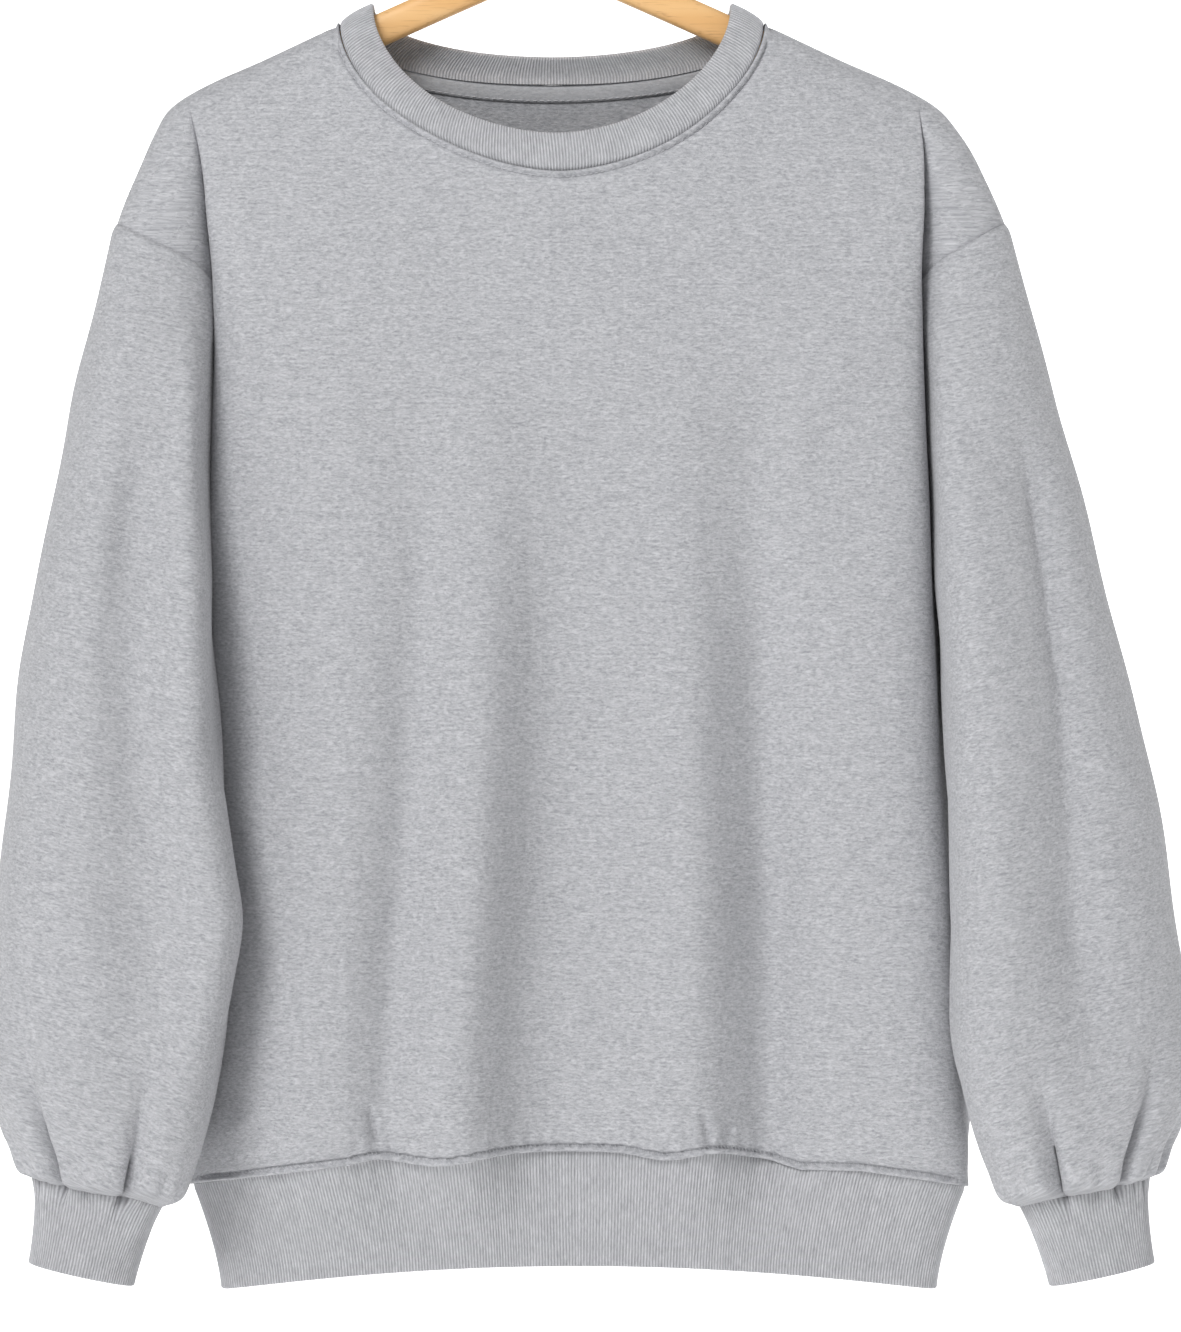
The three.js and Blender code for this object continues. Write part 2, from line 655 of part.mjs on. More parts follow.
// Tape over the back neck seam, inside the back
function neckTape() {
  const sheet = new Sheet();
  const [tapeDrop, tapeHalf, tapeThick] = [43, 131.3, 0.9];
  const from = THREE.MathUtils.degToRad(20);
  const rows = [0.1, 0.55, 1].map((share) => {
    const row = [];
    for (let i = 0; i <= 14; i += 1) {
      const turn = from + ((Math.PI - 2 * from) * i) / 14;
      const half = neckHalf + (tapeHalf - neckHalf) * share;
      const low = backNeckDrop + (tapeDrop - backNeckDrop) * share;
      const across = -half * Math.cos(turn);
      const drop = low * Math.sin(turn) + 4.5 * share * (1 - Math.sin(turn));
      const point = bodyPoint(across, drop, 1);
      const [beside, below] = [bodyPoint(across + 1, drop, 1), bodyPoint(across, drop + 1, 1)];
      const normal = beside.sub(point).cross(below.sub(point)).normalize();
      const inward = -Math.sign(normal.y) * (fleece + 3 * seamGap);
      row.push(sheet.add(point.addScaledVector(normal, inward)));
    }
    return row;
  });
  sheet.grid(rows);
  sheet.faces = sheet.faces.map(([a, b, c]) => [a, c, b]);
  return wall(sheet, tapeThick);
}

// Hanger: one bent bar of wood, with a wire hook standing on its top
const barThick = 14;
const barHeight = 20;
const barBelow = 3.5; // room from the shoulder ridge to the top of the wood
const wireRadius = 1.9;
const hookRadius = 24;
const barTop = -52;

function hangerBar() {
  const topAt = (across) => Math.max(barTop, shoulderDrop(across) + barBelow);
  const half = [
    [0, barTop],
    [7, barTop],
    [24, topAt(24)],
    [121, topAt(121)],
    [198, topAt(198)],
    [206, topAt(206) + 2],
    [210.5, topAt(206) + 8],
    [208, topAt(206) + 14],
    [200, topAt(200) + barHeight - 2.5],
    [121, topAt(121) + barHeight],
    [34, topAt(34) + barHeight],
    [0, topAt(20) + barHeight],
  ];
  const outline = [...half, ...half.slice(1, -1).reverse().map(([x, drop]) => [-x, drop])];
  const shape = new THREE.Shape(outline.map(([x, drop]) => new THREE.Vector2(x, -drop)));
  const bevel = 5;
  const geometry = new THREE.ExtrudeGeometry(shape, {
    depth: barThick - 2 * bevel,
    bevelThickness: bevel,
    bevelSize: bevel,
    bevelOffset: -bevel,
    bevelSegments: 3,
  });
  geometry.translate(0, 0, bevel - barThick / 2);
  geometry.rotateX(Math.PI / 2);
  geometry.translate(0, 0, shoulderLevel);
  return geometry;
}

function hook() {
  const middle = wireRadius - hookRadius;
  const path = [];
  for (let degrees = -25; degrees <= 240; degrees += 26.5) {
    const turn = THREE.MathUtils.degToRad(degrees);
    path.push([hookRadius * Math.cos(turn), middle + hookRadius * Math.sin(turn)]);
  }
  const foot = shoulderLevel - barTop + seamGap;
  path.push([-3.5, middle - 27], [0, middle - 33], [0, foot + 14], [0, foot]);
  const line = new THREE.CatmullRomCurve3(path.map(([x, z]) => new THREE.Vector3(x, 0, z)));
  const section = new THREE.Shape().absarc(0, 0, wireRadius, 0, 2 * Math.PI);
  const sides = new THREE.Shape(section.getPoints(4).slice(0, -1));
  return new THREE.ExtrudeGeometry(sides, { steps: 36, extrudePath: line, curveSegments: 1 });
}

const heather = { color: 0x9fa0a4, roughness: 0.95, metalness: 0 };
const finishes = {
  fleece: new THREE.MeshStandardMaterial(heather),
  rib: new THREE.MeshStandardMaterial({ ...heather, color: 0x999a9e }),
  tape: new THREE.MeshStandardMaterial({ ...heather, color: 0x909195 }),
  wood: new THREE.MeshStandardMaterial({ color: 0xd9a565, roughness: 0.5, metalness: 0 }),
  steel: new THREE.MeshStandardMaterial({ color: 0xc8c8ca, roughness: 0.25, metalness: 1 }),
};

const sweatshirt = new THREE.Group();
const include = (name, geometry, finish) => {
  const mesh = new THREE.Mesh(geometry, finishes[finish]);
  mesh.name = name;
  sweatshirt.add(mesh);
};

const front = panel(-1);
const back = panel(1);
include("front", front.geometry, "fleece");
include("back", back.geometry, "fleece");
include("neckband", neckband(), "rib");
include("neck_tape", neckTape(), "tape");
include("hem_band", hemBand(front, back), "rib");
for (const [side, sign] of [["right", -1], ["left", 1]]) {
  const piece = sleevePiece(sign);
  include(`sleeve_${side}`, piece.geometry, "fleece");
  include(`cuff_${side}`, cuff(piece.edge, sign), "rib");
}
include("hanger_bar", hangerBar(), "wood");
include("hanger_hook", hook(), "steel");

export default sweatshirt;
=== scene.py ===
import math

import bmesh
import bpy
import numpy as np
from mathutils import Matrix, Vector


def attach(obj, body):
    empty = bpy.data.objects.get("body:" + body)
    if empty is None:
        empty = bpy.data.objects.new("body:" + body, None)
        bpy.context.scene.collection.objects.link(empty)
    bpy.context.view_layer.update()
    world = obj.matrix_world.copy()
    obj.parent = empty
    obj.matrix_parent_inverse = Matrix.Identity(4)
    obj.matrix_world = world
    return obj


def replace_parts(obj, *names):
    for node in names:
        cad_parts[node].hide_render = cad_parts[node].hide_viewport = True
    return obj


# A crewneck sweatshirt on its hanger. Shapes are worked out in millimetres from the rail,
# with "across" from the middle line and "drop" down from the high shoulder points, and go
# into the meshes in metres. Face -1 is the front and 1 the back.
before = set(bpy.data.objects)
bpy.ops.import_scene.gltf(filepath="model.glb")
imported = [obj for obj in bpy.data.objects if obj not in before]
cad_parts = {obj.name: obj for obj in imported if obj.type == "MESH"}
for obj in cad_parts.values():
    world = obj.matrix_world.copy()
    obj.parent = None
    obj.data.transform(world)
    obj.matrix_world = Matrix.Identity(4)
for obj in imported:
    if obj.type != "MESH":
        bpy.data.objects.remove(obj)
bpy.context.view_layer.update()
shoulderLevel = -137.0
print("Frame loaded:", len(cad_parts), "nodes")


# Curves and small helpers
def curveOf(at, value):
    # Cubic pieces through the table's rows. The slope at a row is the harmonic mean of the
    # slopes on its two sides, or none where they turn, and the ends run on straight.
    at, value = np.asarray(at, float), np.asarray(value, float)
    slope = np.diff(value) / np.diff(at)
    inner = np.zeros(len(slope) - 1)
    same = slope[:-1] * slope[1:] > 0
    inner[same] = 2 * slope[:-1][same] * slope[1:][same] / (slope[:-1] + slope[1:])[same]
    tangent = np.concatenate([slope[:1], inner, slope[-1:]])

    def valueAt(x):
        x = np.asarray(x, float)
        i = np.clip(np.searchsorted(at, x, side="right") - 1, 0, len(slope) - 1)
        span = at[i + 1] - at[i]
        t = np.clip((x - at[i]) / span, 0, 1)
        start = (1 + 2 * t) * (1 - t) ** 2 * value[i] + t * (1 - t) ** 2 * span * tangent[i]
        end = t * t * (3 - 2 * t) * value[i + 1] - t * t * (1 - t) * span * tangent[i + 1]
        past = slope[0] * np.minimum(x - at[0], 0) + slope[-1] * np.maximum(x - at[-1], 0)
        return start + end + past

    return valueAt


def curvesOf(table, along="drop"):
    return {name: curveOf(table[along], column) for name, column in table.items() if name != along}


def ease(low, high, x):
    # 0 before low, 1 after high, and a smooth s-curve between
    t = np.clip((np.asarray(x, float) - low) / (high - low), 0, 1)
    return t * t * (3 - 2 * t)


def bump(x, left, right=None):
    # A bell of height 1 that falls off over its own width on each side
    width = left if right is None else np.where(x < 0, left, right)
    return np.exp(-((x / width) ** 2))


def boxed(share, square):
    # Height of a superellipse at a share of its half width
    return (1 - np.clip(share, 0, 1) ** square) ** (1 / square)


def oval(turn, square):
    # A cosine or sine pressed towards a box
    return np.sign(turn) * np.abs(turn) ** (2 / square)


def rows(table):
    names = list(table)
    return [dict(zip(names, values)) for values in zip(*table.values())]


def ripple(a, b, waves):
    # A sum of slanted sine waves: (length, direction in degrees, height, shift)
    total = 0
    for length, turned, height, shift in waves:
        way = math.radians(turned)
        along = a * math.cos(way) + b * math.sin(way)
        total = total + height * np.sin(2 * math.pi * along / length + shift)
    return total


def unit(v):
    return v / np.maximum(np.linalg.norm(v, axis=-1, keepdims=True), 1e-9)


def gridNormals(points, closed):
    # Cross product of the differences along a grid's columns and rows
    if closed:
        across = np.roll(points, -1, 1) - np.roll(points, 1, 1)
    else:
        across = np.gradient(points, axis=1)
    return unit(np.cross(across, -np.gradient(points, axis=0)))


def gridFaces(rowCount, columnCount, closed=False, start=0):
    # Four corners of each cell: down, across and up again, seen from outside
    number = start + np.arange(rowCount * columnCount).reshape(rowCount, columnCount)
    if closed:
        number = np.concatenate([number, number[:, :1]], 1)
    corners = [number[:-1, :-1], number[1:, :-1], number[1:, 1:], number[:-1, 1:]]
    return np.stack(corners, -1).reshape(-1, 4)


def makePiece(name, points, faces, material, uv=None, merge=False):
    # points in millimetres, uv in metres: one pair for each point, or for each face corner
    mesh = bpy.data.meshes.new(name)
    mesh.from_pydata((np.asarray(points) / 1000).tolist(), [], np.asarray(faces).tolist())
    if uv is not None:
        layer = mesh.uv_layers.new(name="cloth")
        corner = np.asarray(faces).ravel()
        pairs = uv[corner] if len(uv) == len(points) else uv
        layer.data.foreach_set("uv", pairs.astype(np.float32).ravel())
    mesh.polygons.foreach_set("use_smooth", np.ones(len(mesh.polygons), bool))
    if merge:
        work = bmesh.new()
        work.from_mesh(mesh)
        bmesh.ops.remove_doubles(work, verts=work.verts, dist=2e-6)
        bmesh.ops.dissolve_degenerate(work, edges=work.edges, dist=1e-6)
        work.to_mesh(mesh)
        work.free()
    mesh.update()
    piece = bpy.data.objects.new(name, mesh)
    bpy.context.scene.collection.objects.link(piece)
    if material is not None:
        mesh.materials.append(material)
    return piece


def thicken(piece, thick):
    wall = piece.modifiers.new("wall", "SOLIDIFY")
    wall.thickness = thick / 1000
    wall.offset = -1
    wall.use_rim = True
    wall.use_even_offset = False


# Shader maths
class Wire:
    # One output of a node. Plain arithmetic on it adds Math nodes.
    def __init__(self, paint, socket):
        self.paint, self.socket = paint, socket

    def maths(self, operation, *values):
        inputs = dict(enumerate(values))
        return self.paint.node("ShaderNodeMath", {"operation": operation}, inputs)

    def __add__(self, other):
        return self.maths("ADD", self, other)

    __radd__ = __add__

    def __mul__(self, other):
        return self.maths("MULTIPLY", self, other)

    __rmul__ = __mul__

    def __sub__(self, other):
        return self.maths("SUBTRACT", self, other)

    def __rsub__(self, other):
        return self.maths("SUBTRACT", other, self)

    def __truediv__(self, other):
        return self.maths("DIVIDE", self, other)

    def __rtruediv__(self, other):
        return self.maths("DIVIDE", other, self)

    def __pow__(self, other):
        return self.maths("POWER", self, other)

    def clamped(self, low=0.0, high=1.0):
        return self.maths("MINIMUM", self.maths("MAXIMUM", self, low), high)

    def sine(self):
        return self.maths("SINE", self)

    def size(self):
        return self.maths("ABSOLUTE", self)


class Paint:
    # A material's node tree, with one method that makes any node
    def __init__(self, name, roughness=0.9, sheen=0.0, sheenRough=0.5, specular=0.3):
        self.material = bpy.data.materials.new(name)
        self.material.use_nodes = True
        self.tree = self.material.node_tree
        self.shader = self.tree.nodes["Principled BSDF"]
        fixed = {
            "Roughness": roughness,
            "Specular IOR Level": specular,
            "Sheen Weight": sheen,
            "Sheen Roughness": sheenRough,
        }
        for socket, value in fixed.items():
            self.shader.inputs[socket].default_value = value

    def node(self, kind, settings=None, inputs=None, output=0):
        made = self.tree.nodes.new(kind)
        for name, value in (settings or {}).items():
            if name == "stops":
                ramp = made.color_ramp
                while len(ramp.elements) < len(value):
                    ramp.elements.new(0.5)
                for element, (place, colour) in zip(ramp.elements, value):
                    element.position = place
                    element.color = (*colour, 1.0)
            else:
                setattr(made, name, value)
        for name, value in (inputs or {}).items():
            self.feed(made.inputs[name], value)
        return Wire(self, made.outputs[output])

    def feed(self, socket, value):
        if isinstance(value, Wire):
            self.tree.links.new(value.socket, socket)
        elif isinstance(value, tuple) and socket.type == "RGBA" and len(value) == 3:
            socket.default_value = (*value, 1.0)
        else:
            socket.default_value = value

    def place(self, kind="UV"):
        return self.node("ShaderNodeTexCoord", output=kind)

    def mapped(self, place, scale=(1, 1, 1), turned=(0, 0, 0), moved=(0, 0, 0)):
        return self.node(
            "ShaderNodeMapping", None,
            {"Vector": place, "Scale": scale, "Rotation": turned, "Location": moved},
        )

    def noise(self, place, scale, detail=2.0, rough=0.5, bent=0.0):
        return self.node(
            "ShaderNodeTexNoise", None,
            {"Vector": place, "Scale": scale, "Detail": detail, "Roughness": rough,
             "Distortion": bent},
        )

    def split(self, place):
        parts = self.node("ShaderNodeSeparateXYZ", None, {0: place})
        return [Wire(self, socket) for socket in parts.socket.node.outputs]

    def mix(self, factor, a, b, blend="MIX"):
        # colours only; a and b are the colour sockets of the Mix node
        return self.node(
            "ShaderNodeMix", {"data_type": "RGBA", "blend_type": blend}, {0: factor, 6: a, 7: b}, 2
        )

    def relief(self, height, depth, strength=1.0, below=None):
        inputs = {"Height": height, "Distance": depth, "Strength": strength}
        if below is not None:
            inputs["Normal"] = below
        return self.node("ShaderNodeBump", None, inputs)

    def finish(self, **sockets):
        for name, value in sockets.items():
            self.feed(self.shader.inputs[name.replace("_", " ")], value)
        return self.material


def linear(*rgb):
    # sRGB numbers from 0 to 255 as linear light
    c = np.array(rgb) / 255
    return tuple(float(v) for v in np.where(c <= 0.04045, c / 12.92, ((c + 0.055) / 1.055) ** 2.4))


# Cloth finishes
heather = {
    "light": linear(198.5, 199, 202.5),
    "dark": linear(153, 154, 158.5),
    "fleckLength": 3.4,  # millimetres along the knitted rows
    "fleckHeight": 1.25,
    "curlLength": 5.0,
    "curlHeight": 2.6,
    "curlThick": 0.085,
}
# valley: share of the rib's colour kept at the bottom of a valley; the rest is painted shade
ribShape = {"pitch": 1.78, "height": 0.55, "thick": 2.6, "samples": 4, "valley": 0.62}


def fleeceCloth(name, light, dark, relief=0.00035):
    # Brushed fleece. Colour: flecks of two yarns, drawn out a little along the knitted rows,
    # in slow clouds, with pale curled fibres where a bent noise crosses its middle value.
    # Relief: the same fibres and fine fuzz.
    paint = Paint(name, roughness=0.94, sheen=0.22, sheenRough=0.55, specular=0.16)
    uv = paint.place()
    h = heather
    fine = (1000 / h["fleckLength"], 1000 / h["fleckHeight"], 1)
    curled = (1000 / h["curlLength"], 1000 / h["curlHeight"], 1)
    flecks = paint.noise(paint.mapped(uv, fine), 1.0, 2.0, 0.55, 0.4)
    clouds = paint.noise(paint.mapped(uv, (90, 190, 1), moved=(3, 7, 0)), 1.0, 2.0)
    streaks = paint.noise(paint.mapped(uv, (60, 620, 1), moved=(5, 1, 0)), 1.0, 1.0)
    first = paint.noise(paint.mapped(uv, curled), 1.0, 1.0, 0.5, 1.4)
    second = paint.noise(paint.mapped(uv, curled, moved=(21, 13, 0)), 1.0, 1.0, 0.5, 1.6)
    pale = (1 - (first - 0.5).size() / h["curlThick"]).clamped()
    deep = (1 - (second - 0.5).size() / h["curlThick"]).clamped()
    fuzz = paint.noise(paint.mapped(uv, (900, 1500, 1), moved=(9, 2, 0)), 1.0, 1.0)
    yarns = (flecks - 0.5) * 1.9 + (clouds - 0.5) * 0.5 + (streaks - 0.5) * 0.5
    factor = (yarns + pale * 0.24 - deep * 0.2 + (fuzz - 0.5) * 0.4 + 0.5).clamped()
    height = pale * 0.6 - deep * 0.35 + fuzz * 0.5 + flecks * 0.6
    return paint.finish(Base_Color=paint.mix(factor, dark, light), Normal=paint.relief(height, relief, 0.6))


def ribCloth(name, light, dark, relief=0.0002):
    # Knitted rib. The first coordinate runs across the ribs: a cosine of it is 1 on a rib and
    # -1 in a valley, bent a little by slow noise. Colour has yarn flecks drawn out along the
    # ribs, and painted shade in the valleys. Relief: stitches along each rib, and fibres.
    paint = Paint(name, roughness=0.92, sheen=0.2, sheenRough=0.5, specular=0.16)
    uv = paint.place()
    across, along = paint.split(uv)[:2]
    sway = paint.noise(paint.mapped(uv, (70, 40, 1)), 1.0, 2.0)
    turn = across * (2000 * math.pi / ribShape["pitch"]) + (sway - 0.5) * 1.6
    wave = (turn + math.pi / 2).sine() * 0.5 + 0.5
    flecks = paint.noise(paint.mapped(uv, (1000 / 1.1, 1000 / 4.5, 1)), 1.0, 2.0, 0.6, 0.3)
    clouds = paint.noise(paint.mapped(uv, (120, 90, 1), moved=(3, 7, 0)), 1.0, 2.0)
    fuzz = paint.noise(paint.mapped(uv, (1400, 900, 1), moved=(9, 2, 0)), 1.0, 1.0)
    stitches = (along * (2000 * math.pi / 1.3) + turn * 0.5).sine()
    factor = ((flecks - 0.5) * 1.5 + (clouds - 0.5) * 0.6 + (fuzz - 0.5) * 0.5 + 0.5).clamped()
    colour = paint.mix(factor, dark, light)
    # painted shade: the colour is pulled towards near black in the valleys between the ribs
    valley = (1 - wave) ** 1.3 * (1 - ribShape["valley"])
    colour = paint.mix(valley, colour, (0.02, 0.02, 0.022))
    height = wave * 0.9 + stitches * 0.12 + fuzz * 0.4 + flecks * 0.3
    return paint.finish(Base_Color=colour, Normal=paint.relief(height, relief, 0.6))


fleecePaint = fleeceCloth("fleece", heather["light"], heather["dark"])
ribPaint = ribCloth("rib", linear(209.5, 210, 213.5), linear(170.5, 171, 175))
tapePaint = fleeceCloth("tape", linear(192, 193, 196), linear(166, 167, 171), 0.0002)
threadPaint = Paint("thread", roughness=0.7, specular=0.3)
threadTint = threadPaint.noise(threadPaint.place("Object"), 900.0, 1.0)
threadPaint.finish(Base_Color=threadPaint.mix(threadTint, linear(176, 177, 181), linear(214, 215, 218)))
print("Cloth finishes ready")

# Body shape
shoulderLine = {
    "across": [0, 121.3, 164, 209, 222, 233, 243, 253.4, 265],
    "drop": [-54, 0, 20, 40.5, 49.5, 66, 88.5, 115, 157],
}
bodyShape = {
    "drop": [-60, 0, 40.5, 70, 100, 150, 210, 270, 400, 520, 620, 661],
    "side": [209, 209, 209, 209, 208.5, 205.5, 205.5, 207, 210, 219, 223, 222],
    "front": [26, 30, 36, 42, 47, 55, 61, 65, 69, 69, 64, 48],
    "back": [24, 28, 33, 38, 42, 49, 54, 57, 60, 60, 56, 42],
    "crease": [0, 0, 0, 0.3, 0.6, 0.84, 0.94, 1, 1, 1, 1, 1],
    "square": [8, 8, 8, 8, 8, 7, 5.5, 4.2, 3.2, 3.1, 3, 3],
}
leanShape = {
    "drop": [-60, 38, 80, 150, 270, 400, 520, 600, 730],
    "body": [0, 0, 4, 6, 8.5, 13, 15, 15, 15.5],
    "sleeve": [0, 0, 4, 6, 8.5, 14.5, 20.5, 22, 22.5],
}
# Hanging folds, as the cloth's slope at places across near the hem: it falls away where the
# slope is below zero. shift moves a place over towards the chest.
foldSlopes = {
    -1: {
        "across": [-222, -200, -158, -148, -138, -127, -116, -109, -103, -95, -86, -76, -68, -60,
                   -50, -41, -32, -22, -10, 5, 20, 50, 62, 72, 84, 96, 105, 112, 120, 130, 146,
                   175, 222],
        "slope": [0.1, 0.1, 0.09, 0.0, -0.12, -0.26, -0.34, -0.16, 0.1, 0.24, 0.2, 0.09, -0.05,
                  -0.26, -0.5, -0.5, -0.3, -0.14, -0.03, 0.04, 0.06, 0.07, -0.02, -0.2, -0.42, -0.44,
                  -0.22, 0.12, 0.34, 0.24, 0.08, 0.05, 0.05],
    },
    1: {
        "across": [-222, -180, -150, -128, -106, -84, -60, -30, -8, 16, 36, 60, 84, 106, 130, 160,
                   222],
        "slope": [0.05, 0.1, 0.24, 0.0, -0.28, -0.1, 0.26, 0.14, -0.05, -0.34, -0.16, 0.22, 0.3,
                  -0.08, -0.3, -0.06, -0.05],
    },
}
foldShift = {
    -1: {"across": [-222, -100, -30, 100, 222], "shift": [8, 24, 18, -3, 0]},
    1: {"across": [-222, -100, 0, 100, 222], "shift": [6, 12, 4, -9, -4]},
}
foldGrowth = {"from": 165.0, "to": 540.0, "size": 2.5}
# Short soft creases on the cloth, from one place to another, with negative heights pressed in
bodyCreases = {
    "face": [-1, -1, -1, -1, -1, -1, -1, -1, -1, -1, -1, 1, 1, 1, 1],
    "fromAcross": [-198, -196, 197, 195, -206, -118, -108, 70, 86, 178, 40, -196, 196, -190, 190],
    "fromDrop": [176, 214, 178, 220, 592, 612, 628, 616, 622, 592, 600, 180, 184, 230, 236],
    "toAcross": [-120, -142, 128, 150, -162, -111, -102, 75, 84, 142, 60, -112, 110, -140, 138],
    "toDrop": [292, 356, 268, 350, 652, 641, 642, 639, 639, 650, 640, 270, 262, 350, 340],
    "height": [-2.6, -2.0, -2.4, -2.0, -4.4, -5, -2.6, -3.6, -2.6, -4.4, 1.2, -2.5, -2.4, -1.8, -1.8],
    "width": [13, 14, 13, 14, 6, 2.8, 2.2, 2.6, 2.2, 6, 7, 14, 14, 14, 14],
}
softWaves = [(163, 12, 0.7, 0.4), (118, 68, 0.5, 2.1), (87, -38, 0.4, 4.0), (61, 25, 0.25, 1.0)]
hemShape = {"level": 661.0, "arch": 21.0, "edge": 2.9, "edgeRise": 2.0, "pucker": 0.5}
hemDips = {
    "face": [-1, -1, -1, -1, -1, 1, 1],
    "at": [-115, -76, 48, 80, 127, -70, 60],
    "dip": [-2.5, 4, 3.5, -2, 4.5, 3, 3],
    "width": [14, 22, 16, 14, 16, 20, 18],
}
neckShape = {
    "half": 121.3,
    "drop": {-1: 86.2, 1: 32.0},
    "square": {-1: 1.75, 1: 2.0},
    "bandHalf": 102.0,
    "bandRise": 12.0,
    "bandDrop": {-1: 75.6, 1: 28.0},
    "bandSquare": {-1: 1.88, 1: 2.0},
    "edge": 2.6,
    "edgeRise": 1.7,
}
armholeShape = {
    "step": [0, 1, 2, 3, 4, 5, 6, 7],
    "across": [253.4, 251.6, 244.6, 236, 226.5, 217.7, 211, 205.5],
    "drop": [115, 116, 120, 125.4, 131, 136.6, 143, 150],
}
underarm = {"step": [7, 8, 9, 10], "drop": [150, 175, 212, 270]}
# How far the cloth beside each crease stands nearer the middle, and how far its deepest part
# then flares out again to the side fold, behind the sleeve
creaseMove = {
    -1: {
        "drop": [30, 70, 100, 180, 225, 260, 310, 340, 661],
        "move": [0, 5, 7, 7, 4.5, 3, 0.5, 0, 0],
        "flare": [0, 0, 0, 0, 0, 0, 0, 0, 0],
    },
    1: {
        "drop": [30, 70, 100, 180, 225, 260, 290, 320, 374, 408, 442, 480, 545, 580, 614, 640, 661],
        "move": [0, 1.5, 2, 2, 1.5, 1.5, 2, 2.6, 3, 3.6, 4.4, 5.4, 6.4, 6.6, 4.8, 1.8, 0],
        "flare": [0, 0, 0, 0, 0, 1, 4.5, 7.5, 8.5, 9, 10, 11, 12, 11, 7, 1.5, 0],
    },
}
creaseTop = 40.5
shoulderRound = 25.0
lobeShare = 0.94
flatSide = {-1: 1.4, 1: 0.0}  # how much boxier the body is towards the wearer's left

shoulderDrop = curveOf(shoulderLine["across"], shoulderLine["drop"])
shoulderAcross = curveOf(shoulderLine["drop"], shoulderLine["across"])
body = curvesOf(bodyShape)
leanOf = curvesOf(leanShape)
armhole = curvesOf(armholeShape, "step")
underarmDrop = curveOf(underarm["step"], underarm["drop"])


def armholeAt(step):
    # across and drop of the armhole seam, from the shoulder at step 0 to the underarm at 10
    low = np.maximum(step, 7)
    drop = np.where(step <= 7, armhole["drop"](np.minimum(step, 7)), underarmDrop(low))
    across = np.where(step <= 7, armhole["across"](np.minimum(step, 7)), body["side"](drop))
    return across, drop


def hemDrop(across, face):
    # The hem seam: an arch with its own dips, lowest at the sides
    share = np.clip(np.abs(across) / body["side"](hemShape["level"]), 0, 1)
    dip = sum(r["dip"] * bump(across - r["at"], r["width"]) for r in rows(hemDips) if r["face"] == face)
    return hemShape["level"] - hemShape["arch"] * (1 - share**2) + dip * (1 - share**4)


foldProfiles = {}
for face, table in foldSlopes.items():
    # Running sum of the slopes along the width, tipped so that both ends meet at none
    places = np.linspace(-222, 222, 889)
    height = np.cumsum(curveOf(table["across"], table["slope"])(places)) * 0.5
    height = height - np.linspace(height[0], height[-1], 889)
    foldProfiles[face] = (places, height - height.mean())


def foldHeight(across, drop, face):
    places, height = foldProfiles[face]
    moved = curveOf(foldShift[face]["across"], foldShift[face]["shift"])(across)
    at = across - moved * (1 - ease(250, 640, drop))
    grown = ease(foldGrowth["from"], foldGrowth["to"], drop) ** 0.8 * foldGrowth["size"]
    grown = grown * (1 - 0.4 * ease(620, hemShape["level"], drop))
    return np.interp(at, places, height) * grown


def bodyRise(across, drop, face):
    # How high the section stands above its crease, as a share: a superellipse, boxier to one side
    side = body["side"](drop)
    flatter = 1 + flatSide[face] * ease(0.2, 0.6, across / side) * ease(40, 100, drop)
    return boxed(np.abs(across) / side, body["square"](drop) * flatter)


def bodyDepth(across, drop, face):
    # A superellipse section from a crease at each side, with the dropped shoulders as round
    # lobes outside it, closed along the shoulder line like a root curve, and folds added
    side = body["side"](drop)
    out = np.abs(across)
    full = body["front" if face < 0 else "back"](drop)
    floor = full * (1 - np.clip(body["crease"](drop), 0, 1))
    inner = floor + (full - floor) * bodyRise(across, drop, face)
    reach = np.maximum(1, shoulderAcross(drop) - side)
    opened = np.clip((out - side) / reach, 0, 1)
    lobe = full * (1 - (1 - lobeShare) * ease(50, 100, drop))
    outer = floor + (lobe - floor) * np.sqrt(1 - (1 - opened) ** 4)
    depth = np.where(out > side, outer, inner)
    below = np.maximum(0, drop - shoulderDrop(out))
    inside = 1 - ease(0.8, 1, out / side)
    fold = foldHeight(across, drop, face) + creaseHeight(across, drop, face, bodyCreases)
    wave = ripple(across + 40 * face, drop, softWaves) * ease(0, 60, below)
    return depth * np.sqrt(below / (below + shoulderRound)) + (fold + wave) * inside


def creaseHeight(across, drop, face, table):
    # Each row is a soft line from one place to another: a bell across it, rounded along it
    total = 0
    for r in rows(table):
        if r["face"] != face:
            continue
        way = np.array([r["toAcross"] - r["fromAcross"], r["toDrop"] - r["fromDrop"]], float)
        length = np.hypot(*way)
        a, d = across - r["fromAcross"], drop - r["fromDrop"]
        along = (a * way[0] + d * way[1]) / length**2
        aside = (a * way[1] - d * way[0]) / length
        inside = np.sin(math.pi * np.clip(along, 0, 1)) ** 0.8
        total = total + r["height"] * inside * bump(aside, r["width"])
    return total


def sideMove(across, drop, height=0.0):
    # Moves a place near either crease towards the middle, fading to none on both sides of it,
    # and flares the cloth out again where its height above the crease is small
    out = np.abs(across)
    near = 1 - ease(212, 250, out)
    sides = []
    for table in creaseMove.values():
        at = np.clip(drop, 30, 661)
        inwards = curveOf(table["drop"], table["move"])(at) * ease(130, 198, out)
        sides.append((inwards - curveOf(table["drop"], table["flare"])(at) * (1 - ease(0.05, 0.55, height))) * near)
    return np.where(across < 0, sides[0], -sides[1])


def bodyPoint(across, drop, face, extra=0.0):
    depth = bodyDepth(across, drop, face) + extra
    x = across + leanOf["body"](drop) + sideMove(across, drop, bodyRise(across, drop, face))
    return np.stack(np.broadcast_arrays(x, face * depth, shoulderLevel - drop), -1)


